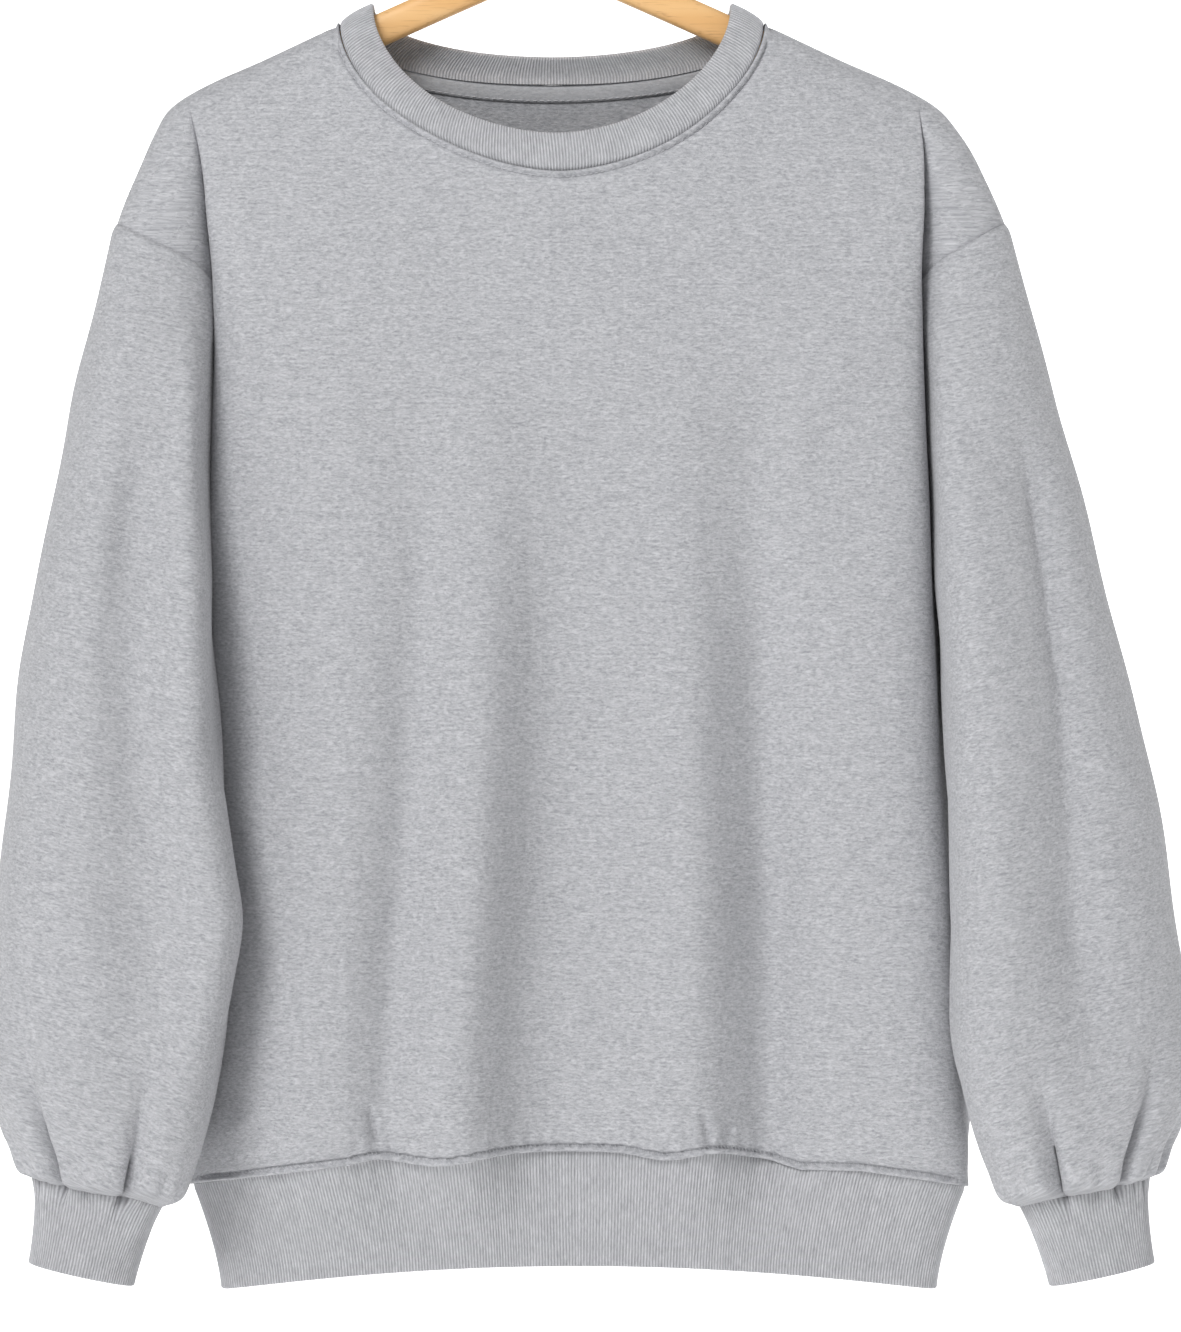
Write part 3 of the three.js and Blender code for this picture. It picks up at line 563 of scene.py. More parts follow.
def seamEdge(away, width, rise):
    # Round cord from just past a seam out to its topstitch, with a groove under the stitches
    share = np.clip(away / width, 0, 1)
    plump = np.sqrt(np.clip(1 - (2 * share - 1) ** 2, 0, 1)) * (away > -0.2)
    return rise * plump - rise * bump(away - width - 0.5, 0.9)


def neckDistance(across, drop, face):
    # Distance outside the neck seam: the superellipse's level over the size of its gradient
    n = neckShape["square"][face]
    wide, deep = neckShape["half"], neckShape["drop"][face]
    a, d = np.abs(across) / wide, np.maximum(drop, 0) / deep
    level = np.maximum(a**n + d**n, 1e-6) ** (1 / n)
    steep = level ** (1 - n) * np.hypot(a ** (n - 1) / wide, d ** (n - 1) / deep)
    return (level - 1) / np.maximum(steep, 1e-6)


def neckTurn(face, share):
    # Angle on the neck seam's superellipse at a share of the way from shoulder to middle
    turn = np.linspace(0, math.pi / 2, 400)
    square = neckShape["square"][face]
    a = neckShape["half"] * oval(np.cos(turn), square)
    d = neckShape["drop"][face] * oval(np.sin(turn), square)
    run = np.concatenate([[0], np.cumsum(np.hypot(np.diff(a), np.diff(d)))])
    return np.interp(share, run / run[-1], turn)


panelShape = {
    "columns": 96,  # from the crease to the middle
    "wallColumns": 13,
    "wallDepth": 0.93,  # share of the depth that they climb
    "flapColumns": 34,
    "rowHeight": 3.9,
    "hemRows": 40,
}


def panelPiece(name, face):
    # Rows run down from the shoulder and neck line to the hem, columns from one armhole to
    # the other. Above, columns hold to the top line; below, to shares of the section.
    p = panelShape
    top = 30 * (np.arange(25) / 24) ** 2
    middle = np.linspace(70.5, hemShape["level"] - 34, int(round(556 / p["rowHeight"])))[1:]
    lowest = hemShape["level"] - 34 * (1 - np.arange(1, p["hemRows"] + 1) / p["hemRows"]) ** 1.6
    level = np.concatenate([creaseTop + top, middle, lowest])[:, None]
    wallPart = p["wallColumns"] / p["columns"]
    share = np.arange(p["columns"] + 1) / p["columns"]

    # the top line: shoulder from the crease to the neck, then the neck seam
    neckPart = 0.44 if face < 0 else 0.49
    shoulder = np.interp(share, [0, wallPart, neckPart], [209, 201, neckShape["half"]])
    easedIn = 209 - 8 * (np.clip(share / wallPart, 0, 1)) ** 2
    shoulder = np.where(share < wallPart, easedIn, shoulder)
    turn = neckTurn(face, np.clip((share - neckPart) / (1 - neckPart), 0, 1))
    square = neckShape["square"][face]
    onNeck = share >= neckPart
    startAcross = np.where(onNeck, neckShape["half"] * oval(np.cos(turn), square), shoulder)
    neckDepth = neckShape["drop"][face] * oval(np.sin(turn), square)
    startDrop = np.where(onNeck, neckDepth, shoulderDrop(shoulder))

    # shares of the section further down
    squareAt = body["square"](level)
    climb = p["wallDepth"] * np.clip(share / wallPart, 0, 1)
    corner = (1 - p["wallDepth"] ** squareAt) ** (1 / squareAt)
    onWall = (1 - climb**squareAt) ** (1 / squareAt)
    station = np.where(share < wallPart, onWall, corner * (1 - share) / (1 - wallPart))
    settled = ease(creaseTop, 170, level)
    side = body["side"](level)
    half = startAcross * (1 - settled) + side * station * settled
    held = (startDrop - creaseTop) * (1 - ease(creaseTop, 230, level))
    halfDrop = level + held

    # the dropped shoulder outside the crease
    rise = np.sqrt(np.clip((level - creaseTop) / 14.5, 0, 1))
    ridge = 209 + 44.4 * rise**1.15
    step = curveOf([55, 64, 76, 90, 105, 120, 135, 150], np.arange(8))(np.clip(level, 55, 150))
    seamAcross, seamDrop = armholeAt(step)
    onRidge = level < 55
    rimAcross = np.where(onRidge, ridge, seamAcross)
    rimDrop = np.where(onRidge, shoulderDrop(ridge), seamDrop)
    gone = level >= 150
    rimAcross = np.where(gone, side, rimAcross)
    rimDrop = np.where(gone, level, rimDrop)
    spread = (1 - np.cos(math.pi * np.arange(p["flapColumns"], 0, -1) / p["flapColumns"])) / 2
    flap = side + (rimAcross - side) * spread
    flapDrop = level + (rimDrop - level) * spread
    width = np.concatenate([flap, half], 1)
    drop = np.concatenate([flapDrop, halfDrop], 1)

    # a narrow valley along the armhole seam
    rimRun = np.hypot(rimAcross - width, rimDrop - drop)
    belowRidge = ease(52, 62, level) * (level < 272)
    valley = -1.4 * bump(rimRun, 3.0) * belowRidge * ease(3, 30, level - creaseTop)

    sheets = []
    for sign in (-1, 1):
        across = sign * width
        sheets.append((across, drop, valley))
    left, right = sheets
    across = np.concatenate([left[0], right[0][:, ::-1][:, 1:]], 1)
    drop = np.concatenate([left[1], right[1][:, ::-1][:, 1:]], 1)
    valley = np.concatenate([left[2], right[2][:, ::-1][:, 1:]], 1)
    drop = drop + (hemDrop(across, face) - hemShape["level"]) * ease(520, hemShape["level"], level)

    # a piped edge and a stitched groove above the hem seam and outside the neck seam
    fromHem = hemDrop(across, face) - drop
    sideShare = np.abs(across) / body["side"](drop)
    piped = seamEdge(fromHem, hemShape["edge"], hemShape["edgeRise"]) * (1 - ease(0.93, 1, sideShare))
    pucker = np.sin(across * 2 * math.pi / 9.3 + 1.7 * np.sin(across / 23))
    pucker = pucker * bump(fromHem - 7, 8) * hemShape["pucker"]
    around = neckDistance(across, drop, face)
    piped = piped + seamEdge(around, neckShape["edge"], neckShape["edgeRise"])
    point = bodyPoint(across, drop, face, valley)
    normal = gridNormals(point, False)
    normal = normal * np.sign(normal[..., 1:2] * face + 1e-9)
    normal[:2] = normal[2]
    point = point + normal * (piped + pucker)[..., None]
    # the knit follows the cloth round its sides: u is the length along each row
    steps = np.hypot(np.diff(point[..., 0], axis=1), np.diff(point[..., 1], axis=1))
    run = np.concatenate([np.zeros((len(point), 1)), np.cumsum(steps, 1)], 1)
    run = run - run[:, run.shape[1] // 2, None]
    uv = np.stack([run, -drop], -1) / 1000
    faces = gridFaces(*across.shape)
    if face > 0:
        faces = faces[:, ::-1]
    piece = makePiece(name, point.reshape(-1, 3), faces, fleecePaint, uv.reshape(-1, 2), merge=True)
    thicken(piece, 1.8)
    return piece


frontPiece = panelPiece("front_cloth", -1)
backPiece = panelPiece("back_cloth", 1)
for piece, node in [(frontPiece, "front"), (backPiece, "back")]:
    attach(piece, "root")
    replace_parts(piece, node)
print("Front and back made")

# Sleeves
sleeveShape = {
    "drop": [110, 157, 214, 271, 328, 385, 442, 500, 557, 600, 628, 642, 652, 658.5],
    "inner": [208, 208, 208, 209, 207, 204, 203, 202.5, 205, 212, 219.5, 225, 231.5, 239.5],
    "outer": [252, 263.5, 278.2, 291.8, 304, 315.7, 324.4, 331, 336, 337, 332.2, 327, 322, 315.5],
    "front": [44, 55, 67, 77, 86, 94, 100, 106, 108, 107, 103, 98, 91, 82],
    "back": [38, 47, 50, 48, 39, 24, 12, 2, -6, -12, -17, -22, -29, -38],
    "tilt": [0, 0.08, 0.2, 0.3, 0.38, 0.4, 0.37, 0.32, 0.26, 0.22, 0.18, 0.12, 0.06, 0],
}
sleeveMake = {
    "columns": 216,
    "rows": 178,
    "end": 658.5,
    "square": 2.3,
    "innerSquare": {-1: 4.2, 1: 2.9},  # boxier where the sleeve folds flat against the body
    "upperSquare": {-1: 1.7, 1: 0.8},  # added to it above the elbow
    "frontTilt": {-1: 0.4, 1: 0.8},  # share of the section's swing that its front keeps
    "slant": 8.5,
    "droop": 4.5,  # how far the full edge hangs over the cuff
    "grain": 0.2,  # how far the knitted rows drop towards the outside
    "startFade": 75.0,
    "seamGap": 0.85,
    "allowance": 4.0,
    "allowanceDeep": 2.8,
    "evenedOut": 260.0,
}
seamAngles = [0, 4, 9, 16, 30, 48, 68, 92, 125, 154, 180]
# Gathers where the sleeve is eased into its cuff. angle is round the sleeve in degrees from
# the side that faces the body; lean is how far a gather moves over in its own length.
cuffGathers = {
    "angle": [50, 75, 96, 115, 134, 152, 170, 186, 204, 222, 245, 262, 280, 304, 330, 20],
    "depth": [4, 19, 5, 18, 5, 10, 5, 8, 5, 11, 9, 5, 11, 9, 5, 4],
    "width": [6, 3.8, 3.6, 4.4, 3.6, 4.2, 3.6, 6, 4.2, 6, 6, 4.2, 6, 6, 8, 8],
    "reach": [30, 84, 22, 96, 22, 44, 22, 46, 26, 62, 60, 26, 58, 50, 40, 36],
    "lean": [-4, -4, 2, 16, 4, 7, 3, 0, -3, -8, -6, 0, 6, 4, 0, 0],
}
sleeveTrough = {"angle": {-1: (79, 74), 1: (104, 92)}, "depth": 15, "width": 16, "start": 190, "end": 640}
# Lazy creases on the sleeves: angle and drop of each middle, length and width along and across
sleeveCreases = {
    "angle": [70, 118, 96, 60, 132, 84, 110, 150, 250, 300, 225],
    "drop": [232, 262, 352, 402, 438, 498, 556, 590, 330, 420, 520],
    "slant": [0.5, -0.4, 0.5, -0.35, 0.4, 0.45, -0.4, 0.3, 0.4, -0.4, 0.3],
    "length": [34, 36, 40, 38, 40, 44, 38, 34, 40, 40, 40],
    "width": [9, 10, 11, 10, 10, 11, 9, 8, 11, 11, 11],
    "depth": [1.7, 1.5, 1.6, 1.3, -1.3, 1.6, 1.4, -1.2, 1.6, 1.5, 1.4],
}
# How far the edge beside the body moves towards the middle, or away from it below zero
sleeveLap = {
    -1: {
        "drop": [130, 168, 237, 271, 305, 374, 408, 442, 477, 511, 545, 580, 614, 648],
        "lap": [0, 2.5, 3.2, 3.8, 2.4, 0, -1, 2.3, 4.6, 8, 5, 0, -2.2, -1],
    },
    1: {
        "drop": [130, 203, 271, 305, 340, 374, 408, 442, 477, 511, 545, 580, 614, 648],
        "lap": [0, 0, -0.5, -1.8, -3, -3.6, -4.8, -5, -4.6, -3.4, 0, 2.2, 0, 0],
    },
}
sleeveWaves = [(151, 80, 0.7, 0.8), (96, 35, 0.5, 3.0), (70, -50, 0.35, 5.0)]
sleeve = curvesOf(sleeveShape)


def sleeveDent(angle, drop, side):
    # Gathers as bells round the sleeve that deepen towards the cuff, and one long trough
    degrees = np.degrees(angle)
    end = sleeveMake["end"]
    gathers = 0
    for r in rows(cuffGathers):
        at = r["angle"] + r["lean"] * (end - drop) / r["reach"]
        away = (degrees - at + 180) % 360 - 180
        near = np.clip(1 - (end - drop) / r["reach"], 0, 1)
        narrow = r["width"] * (1.9 - 0.9 * near)
        gathers = gathers + r["depth"] * near**1.3 * bump(away, narrow)
    closed = 1 - 0.62 * ease(648, end, drop)
    t = sleeveTrough
    along = ease(t["start"], t["start"] + 120, drop) * (1 - ease(t["end"] - 120, t["end"], drop))
    high, low = t["angle"][side]
    middle = high + (low - high) * ease(300, 520, drop)
    return gathers * closed + t["depth"] * along * bump(degrees - middle, t["width"])


def sleeveFold(angle, drop, side):
    # Short slanting creases and slow waves, in millimetres, that fade out at both ends
    degrees = np.degrees(angle)
    total = ripple(degrees * 0.9 * side, drop, sleeveWaves)
    for r in rows(sleeveCreases):
        a = ((degrees - r["angle"] + 180) % 360 - 180) * 0.95
        d = drop - r["drop"]
        along = d * math.cos(r["slant"]) + a * math.sin(r["slant"]) * side
        aside = a * math.cos(r["slant"]) - d * math.sin(r["slant"]) * side
        total = total - r["depth"] * bump(along, r["length"]) * bump(aside, r["width"])
    return total * ease(150, 230, drop) * (1 - ease(610, 650, drop))


def sleevePlace(angle, drop, side):
    # A superellipse section, swung by its tilt, with the cuff end slanting
    half = (sleeve["outer"](drop) - sleeve["inner"](drop)) / 2
    deep = (sleeve["front"](drop) + sleeve["back"](drop)) / 2
    dent = sleeveDent(angle, drop, side) - sleeveFold(angle, drop, side)
    inner = sleeveMake["innerSquare"][side] + sleeveMake["upperSquare"][side] * (1 - ease(260, 440, drop))
    square = sleeveMake["square"] + (inner - sleeveMake["square"]) * ease(0, 0.45, np.cos(angle))
    across = oval(np.cos(angle), square)
    forward = oval(np.sin(angle), square)
    middle = (sleeve["back"](drop) - sleeve["front"](drop)) / 2
    kept = sleeveMake["frontTilt"][side]
    facing = ease(0, 0.7, forward)
    tilted = across + (kept * across + (1 - kept) * 0.75 - across) * facing
    lap = curveOf(sleeveLap[side]["drop"], sleeveLap[side]["lap"])(np.clip(drop, 130, 648))
    lapped = ease(0, 1, across) * (ease(-0.3, 0.3, forward) if side < 0 else 1)
    x = sleeve["inner"](drop) + half - (half - dent) * across - lap * lapped
    y = middle - (deep - dent) * forward - sleeve["tilt"](drop) * half * tilted
    down = sleeveMake["slant"] * np.cos(angle) * ease(540, sleeveMake["end"], drop)
    down = down + sleeveMake["droop"] * bump(drop - 651, 6)
    return x, y, drop + down


def sleeveEdge(angle, sign):
    # The sleeve's lower edge, round its angle, in millimetres
    x, y, drop = sleevePlace(angle, np.full_like(angle, sleeveMake["end"]), sign)
    return np.stack([sign * x + leanOf["sleeve"](drop), y, shoulderLevel - drop], -1)


def sleevePiece(name, sign):
    # Rings from the armhole seam to the cuff. The columns start where the seam has them and
    # spread out evenly further down; the first stretch blends from the seam to the section.
    m = sleeveMake
    place = 20 * np.arange(m["columns"]) / m["columns"]
    isFront = place <= 10
    half = np.where(isFront, place, 20 - place)
    across, start = armholeAt(10 - half)
    face = np.where(isFront, -1, 1)
    fine = np.linspace(0, 1, 2001)
    dense = np.cumsum(1 + 2.8 * bump(fine - 1, 0.06) + 0.8 * bump(fine, 0.05))
    dense = (dense - dense[0]) / (dense[-1] - dense[0])
    share = np.interp(np.arange(m["rows"] + 1) / m["rows"], dense, fine)[:, None]
    drop = start + (m["end"] - start) * share
    below = drop - start
    own = curveOf(np.arange(11), seamAngles)(half)
    atSeam = np.where(isFront, own, 360 - own)
    even = 18 * place
    angle = np.radians(atSeam + (even - atSeam) * ease(0, m["evenedOut"], below))
    x, y, down = sleevePlace(angle, drop, sign)
    ownX, ownY, ownDrop = sleevePlace(np.radians(atSeam), start, sign)
    faded = 1 - ease(0, m["startFade"], below)
    seamY = np.where(isFront, -bodyDepth(across, start, -1), bodyDepth(across, start, 1))
    x = x + (across + sign * sideMove(sign * across, start) - ownX) * faded
    down = down + (start - ownDrop) * faded
    y = y + (seamY - ownY) * faded
    # a narrow valley along the seam, and fullness just past it
    x = x - 1.0 * bump(below, 3.0) * np.clip((x - 200) / 60, 0, 1)
    y = y * (1 - 0.024 * bump(below, 3.0))
    point = np.stack([sign * x + leanOf["sleeve"](down), y, shoulderLevel - down], -1)
    # the cloth turns in at the seam, and its allowance runs on inside the body's cloth
    ahead = unit(point[0] - point[1])
    turnedIn = point[0] - ahead * m["seamGap"] + unit(point[0].mean(0) - point[0]) * m["allowanceDeep"]
    allowance = turnedIn + ahead * m["allowance"]
    point[0] = point[0] - ahead * m["seamGap"]
    point = np.concatenate([allowance[None], turnedIn[None], point])
    drop = np.concatenate([drop[:1] - m["allowance"], drop[:1] - m["seamGap"], drop])
    around = np.linalg.norm(np.diff(point, axis=1, append=point[:, :1]), axis=-1)
    run = np.concatenate([np.zeros((len(point), 1)), np.cumsum(around, 1)], 1)
    run = run - run.mean(1, keepdims=True)
    faces = gridFaces(*point.shape[:2], closed=True)
    # pairs for each face corner, because the last column meets the first again
    rowsUp = np.arange(len(point) - 1)[:, None]
    col = np.arange(m["columns"])[None, :]
    u = np.stack([run[rowsUp, col], run[rowsUp + 1, col], run[rowsUp + 1, col + 1], run[rowsUp, col + 1]], -1)
    v = -drop - m["grain"] * point[..., 0] * sign
    nextCol = (col + 1) % m["columns"]
    v = np.stack([v[rowsUp, col], v[rowsUp + 1, col], v[rowsUp + 1, nextCol], v[rowsUp, nextCol]], -1)
    uv = np.stack([u, v], -1) / 1000
    if sign > 0:
        faces, uv = faces[:, ::-1], uv[:, :, ::-1]
    piece = makePiece(name, point.reshape(-1, 3), faces, fleecePaint, uv.reshape(-1, 2))
    thicken(piece, 1.8)
    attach(piece, "root")
    return piece


for sideName, sign in [("right", -1), ("left", 1)]:
    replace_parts(sleevePiece(f"sleeve_cloth_{sideName}", sign), f"sleeve_{sideName}")
print("Sleeves made")

# Ribbed trims
def ribTrim(name, baseAt, rowShares, length):
    # A doubled band. baseAt gives its outer surface for a turn and a share from the seam to
    # the free edge. The profile runs down outside, rolls over the edge and comes back up
    # inside; each point moves out along the surface's normal, further on the raised ribs.
    quarter = (1 - np.cos(math.pi * np.arange(1000) / 1000)) / 8
    turn = np.concatenate([quarter, quarter + 0.25, quarter + 0.5, quarter + 0.75])
    seam = baseAt(turn, np.array([[0.35]]))[0]
    run = np.linalg.norm(np.roll(seam, -1, 0) - seam, axis=-1)
    total = run.sum()
    ribs = int(round(total / ribShape["pitch"]))
    count = ribs * ribShape["samples"]
    even = np.arange(count) / count
    turns = np.interp(even, np.concatenate([[0], np.cumsum(run)]) / total, np.append(turn, 1.0))
    wave = 0.5 + 0.5 * np.cos(2 * math.pi * even * ribs)
    thick = ribShape["thick"]
    roll = thick / 2 / length
    outer = rowShares * (1 - roll)
    bend = np.radians([20, 45, 70, 90, 110, 135, 160])
    edge = 1 - roll + roll * np.sin(bend)
    inner = (1 - roll) * np.linspace(1, 0, 7)
    share = np.concatenate([outer, edge, inner])[:, None]
    sunk = np.concatenate([0 * outer, thick / 2 * (1 - np.cos(bend)), 0 * inner + thick])[:, None]
    facing = np.concatenate([0 * outer + 1, np.cos(bend), 0 * inner - 1])[:, None]
    base = baseAt(turns, share)
    ahead = baseAt(turns, share - 0.02)
    behind = baseAt(turns, share + 0.02)
    beside = np.roll(base, -1, 1) - np.roll(base, 1, 1)
    normal = unit(np.cross(beside, ahead - behind))
    middle = base.reshape(-1, 3).mean(0)
    outwards = np.sign(np.sum(normal[0] * (base[0] - middle) * [1, 1, 0]))
    normal = normal * outwards
    rib = ribShape["height"] * wave * np.abs(facing) ** 0.5 * np.sign(facing)
    startFlat = np.concatenate([ease(0, 0.05, rowShares), 1 + 0 * edge, 1 + 0 * inner])[:, None]
    point = base + normal * ((rib * startFlat - sunk)[..., None])
    faces = gridFaces(len(share), count, closed=True)
    if outwards < 0:
        faces = faces[:, ::-1]
    along = np.append(even, 1.0) * ribs * ribShape["pitch"] / 1000
    run = np.concatenate([[0], np.cumsum(np.hypot(np.diff(share[:, 0]) * length, np.diff(sunk[:, 0])))]) / 1000
    r = np.arange(len(share) - 1)[:, None]
    c = np.arange(count)[None, :]
    u = np.stack(np.broadcast_arrays(along[c], along[c], along[c + 1], along[c + 1]), -1) + 0 * r[..., None]
    v = np.stack(np.broadcast_arrays(run[r], run[r + 1], run[r + 1], run[r]), -1) + 0 * c[..., None]
    uv = np.stack([u, -v], -1)
    if outwards < 0:
        uv = uv[:, :, ::-1]
    piece = makePiece(name, point.reshape(-1, 3), faces, ribPaint, uv.reshape(-1, 2))
    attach(piece, "root")
    return piece, total


def neckbandAt(turn, share):
    # From the neck seam up and in to the opening, swelling a little on the way
    whole = 2 * math.pi * (turn % 1)
    isFront = whole < math.pi
    face = np.where(isFront, -1.0, 1.0)
    cos, sin = np.cos(whole), np.abs(np.sin(whole))
    n = neckShape
    pick = lambda table: np.where(isFront, table[-1], table[1])
    across = n["half"] * oval(cos, pick(n["square"]))
    drop = pick(n["drop"]) * oval(sin, pick(n["square"]))
    depth = np.where(isFront, bodyDepth(across, drop, -1), bodyDepth(across, drop, 1))
    y = face * depth
    innerAcross = n["bandHalf"] * oval(cos, pick(n["bandSquare"]))
    innerDrop = pick(n["bandDrop"]) * oval(sin, pick(n["bandSquare"])) - n["bandRise"]
    a = across + (innerAcross - across) * share
    d = drop + (innerDrop - drop) * share
    yy = y + (y * 0.84 - y) * share
    swell = 0.3 + 1.9 * np.sin(math.pi * np.clip(share, 0, 1)) * (1 - 0.3 * share)
    swell = swell - 1.5 * (1 - ease(0, 0.14, share))
    level = np.maximum(np.hypot(a, 1.6 * yy), 1e-6)
    x = a + leanOf["body"](d) + swell * a * 0.6 / level
    depthOut = yy + swell * 1.6 * yy / level
    z = shoulderLevel - d + swell * 0.5 * np.abs(np.cos(np.arctan2(1.6 * yy, a)))
    return np.stack(np.broadcast_arrays(x, depthOut, z), -1)


hemBandShape = {
    "level": 720.5,
    "arch": 14.5,
    "half": 203.5,
    "front": 34.0,
    "back": 30.0,
    "square": 4.2,
    "tuck": 2.4,
}


def hemBandAt(turn, share):
    # Hangs from the hem seam and draws in towards its free edge, sooner near the seam
    whole = 2 * math.pi * (turn % 1)
    isFront = whole < math.pi
    cos, sin = np.cos(whole), np.abs(np.sin(whole))
    side = body["side"](hemShape["level"])
    part = oval(cos, 3.0)
    across = side * part
    h = hemBandShape
    top = []
    for face in (-1, 1):
        drop = hemDrop(across, face)
        pucker = np.sin(across * 2 * math.pi / 9.3 + 1.7 * np.sin(across / 23)) * 0.3
        depth = bodyDepth(across, drop, face) + pucker * sin - h["tuck"] * sin
        top.append(np.stack([across * (1 - h["tuck"] / side) + leanOf["body"](drop), face * depth, -drop], -1))
    seam = np.where(isFront[..., None], top[0], top[1])
    away = np.abs(part)
    deep = np.where(isFront, h["front"], h["back"]) * boxed(away, h["square"])
    drop = h["level"] - h["arch"] * (1 - away**2)
    face = np.where(isFront, -1, 1)
    end = np.stack([h["half"] * part + leanOf["body"](drop), face * deep, -drop], -1)
    share = np.asarray(share)[..., None]
    kept = np.clip(share, 0, 1)
    drawn = 1 - (1 - kept) ** 1.5
    x = seam[..., 0:2] + (end - seam)[..., 0:2] * drawn
    z = seam[..., 2:3] + (end - seam)[..., 2:3] * share
    bulge = 1.2 * np.sin(math.pi * kept) * np.stack([0.2 * np.sign(cos), face * sin], -1)
    # the folds of the body die away slowly down the band
    point = np.concatenate([x + bulge, z + shoulderLevel], -1)
    return point


cuffShape = {"length": 50.0, "width": 60.0, "depth": 38.0, "swing": 12.5, "tuck": 0.8, "gathered": 0.34}


def cuffAt(sign):
    c = cuffShape
    swing = math.radians(c["swing"]) * sign
    down = np.array([math.sin(swing), 0, -math.cos(swing)])
    out = np.array([math.cos(swing), 0, math.sin(swing)])
    ring = sleeveEdge(np.linspace(0, 2 * math.pi, 721)[:-1], sign)
    centre = ring.mean(0)
    parts = np.fft.rfft(ring, axis=0)[:4] / 360

    def at(turn, share):
        # From the sleeve's edge to an oval at the free end, drawn in soon after the seam. The
        # gathers die out first, into the edge's own first three harmonics.
        whole = 2 * math.pi * (turn % 1)
        edge = sleeveEdge(whole, sign)
        edge = centre + (edge - centre) * (1 - c["tuck"] / 30)
        waves = [np.cos(k * whole)[..., None] * parts[k].real - np.sin(k * whole)[..., None] * parts[k].imag for k in (1, 2, 3)]
        around = sum(waves) * (1 - c["tuck"] / 30)
        angle = np.arctan2(around[..., 1] / c["depth"], around @ out / c["width"])[..., None]
        plain = ease(0, c["gathered"], np.asarray(share))[..., None]
        edge = edge + (centre + around - edge) * plain
        end = centre + c["length"] * down
        low = end + out * (c["width"] / 2 * np.cos(angle)) + np.array([0, 1, 0]) * (c["depth"] / 2 * np.sin(angle))
        share = np.asarray(share)[..., None]
        drawn = 1 - (1 - np.clip(share, 0, 1)) ** 1.7
        place = edge + (low - edge) * drawn
        along = edge + (low - edge) * share
        fall = ((along - place) @ down)[..., None]
        return place + fall * down

    return at


bandRows = np.concatenate([[0, 0.02, 0.05, 0.09], np.linspace(0.15, 1, 12)])
neckband, neckRound = ribTrim("neckband_rib", neckbandAt, bandRows, 22.0)
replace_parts(neckband, "neckband")
hemBand, hemRound = ribTrim("hem_rib", hemBandAt, bandRows, 62.0)
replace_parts(hemBand, "hem_band")
for sideName, sign in [("right", -1), ("left", 1)]:
    cuff, cuffRound = ribTrim(f"cuff_rib_{sideName}", cuffAt(sign), bandRows, 50.0)
    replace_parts(cuff, f"cuff_{sideName}")
print("Ribbed trims made")

# Neck tape
tapeShape = {"drop": 42.0, "half": 131.3, "thick": 0.9, "from": 16.0, "top": 0.06, "puff": 0.9}


def tapePiece():
    # A strip inside the back that follows the neck seam, plump between its two edges
    t = tapeShape
    turn = np.linspace(math.radians(t["from"]), math.pi - math.radians(t["from"]), 141)[None, :]
    share = np.linspace(t["top"], 1, 13)[:, None]
    half = neckShape["half"] + (t["half"] - neckShape["half"]) * share
    low = neckShape["drop"][1] + (t["drop"] - neckShape["drop"][1]) * share
    across = -half * np.cos(turn)
    drop = low * np.sin(turn) + 4.5 * share * (1 - np.sin(turn))
    point = bodyPoint(across, drop, 1)
    normal = gridNormals(point, False)
    normal = normal * np.sign(normal[..., 1:2])
    rounded = np.sqrt(np.clip(1 - (2 * (share - t["top"]) / (1 - t["top"]) - 1) ** 2, 0, 1))
    puff = t["puff"] * rounded - 0.4 * (1 - ease(0, 0.15, share)) + 0 * turn
    point = point - normal * (2.75 + puff[..., None])
    uv = np.stack([across, -drop], -1) / 1000
    faces = gridFaces(13, 141)
    piece = makePiece("tape_strip", point.reshape(-1, 3), faces, tapePaint, uv.reshape(-1, 2))
    thicken(piece, t["thick"])
    return piece


tape = tapePiece()
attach(tape, "root")
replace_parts(tape, "neck_tape")
print("Neck tape made")

# Topstitching
stitchShape = {
    "hem": {"pitch": 2.7, "length": 2.7, "thick": 0.55, "slant": 58, "lift": 0.35},
    "neck": {"pitch": 3.3, "length": 2.3, "thick": 0.6, "slant": 0, "lift": 0.3},
    "tape": {"pitch": 3.9, "length": 3.0, "thick": 0.6, "slant": 0, "lift": 0.35},
}


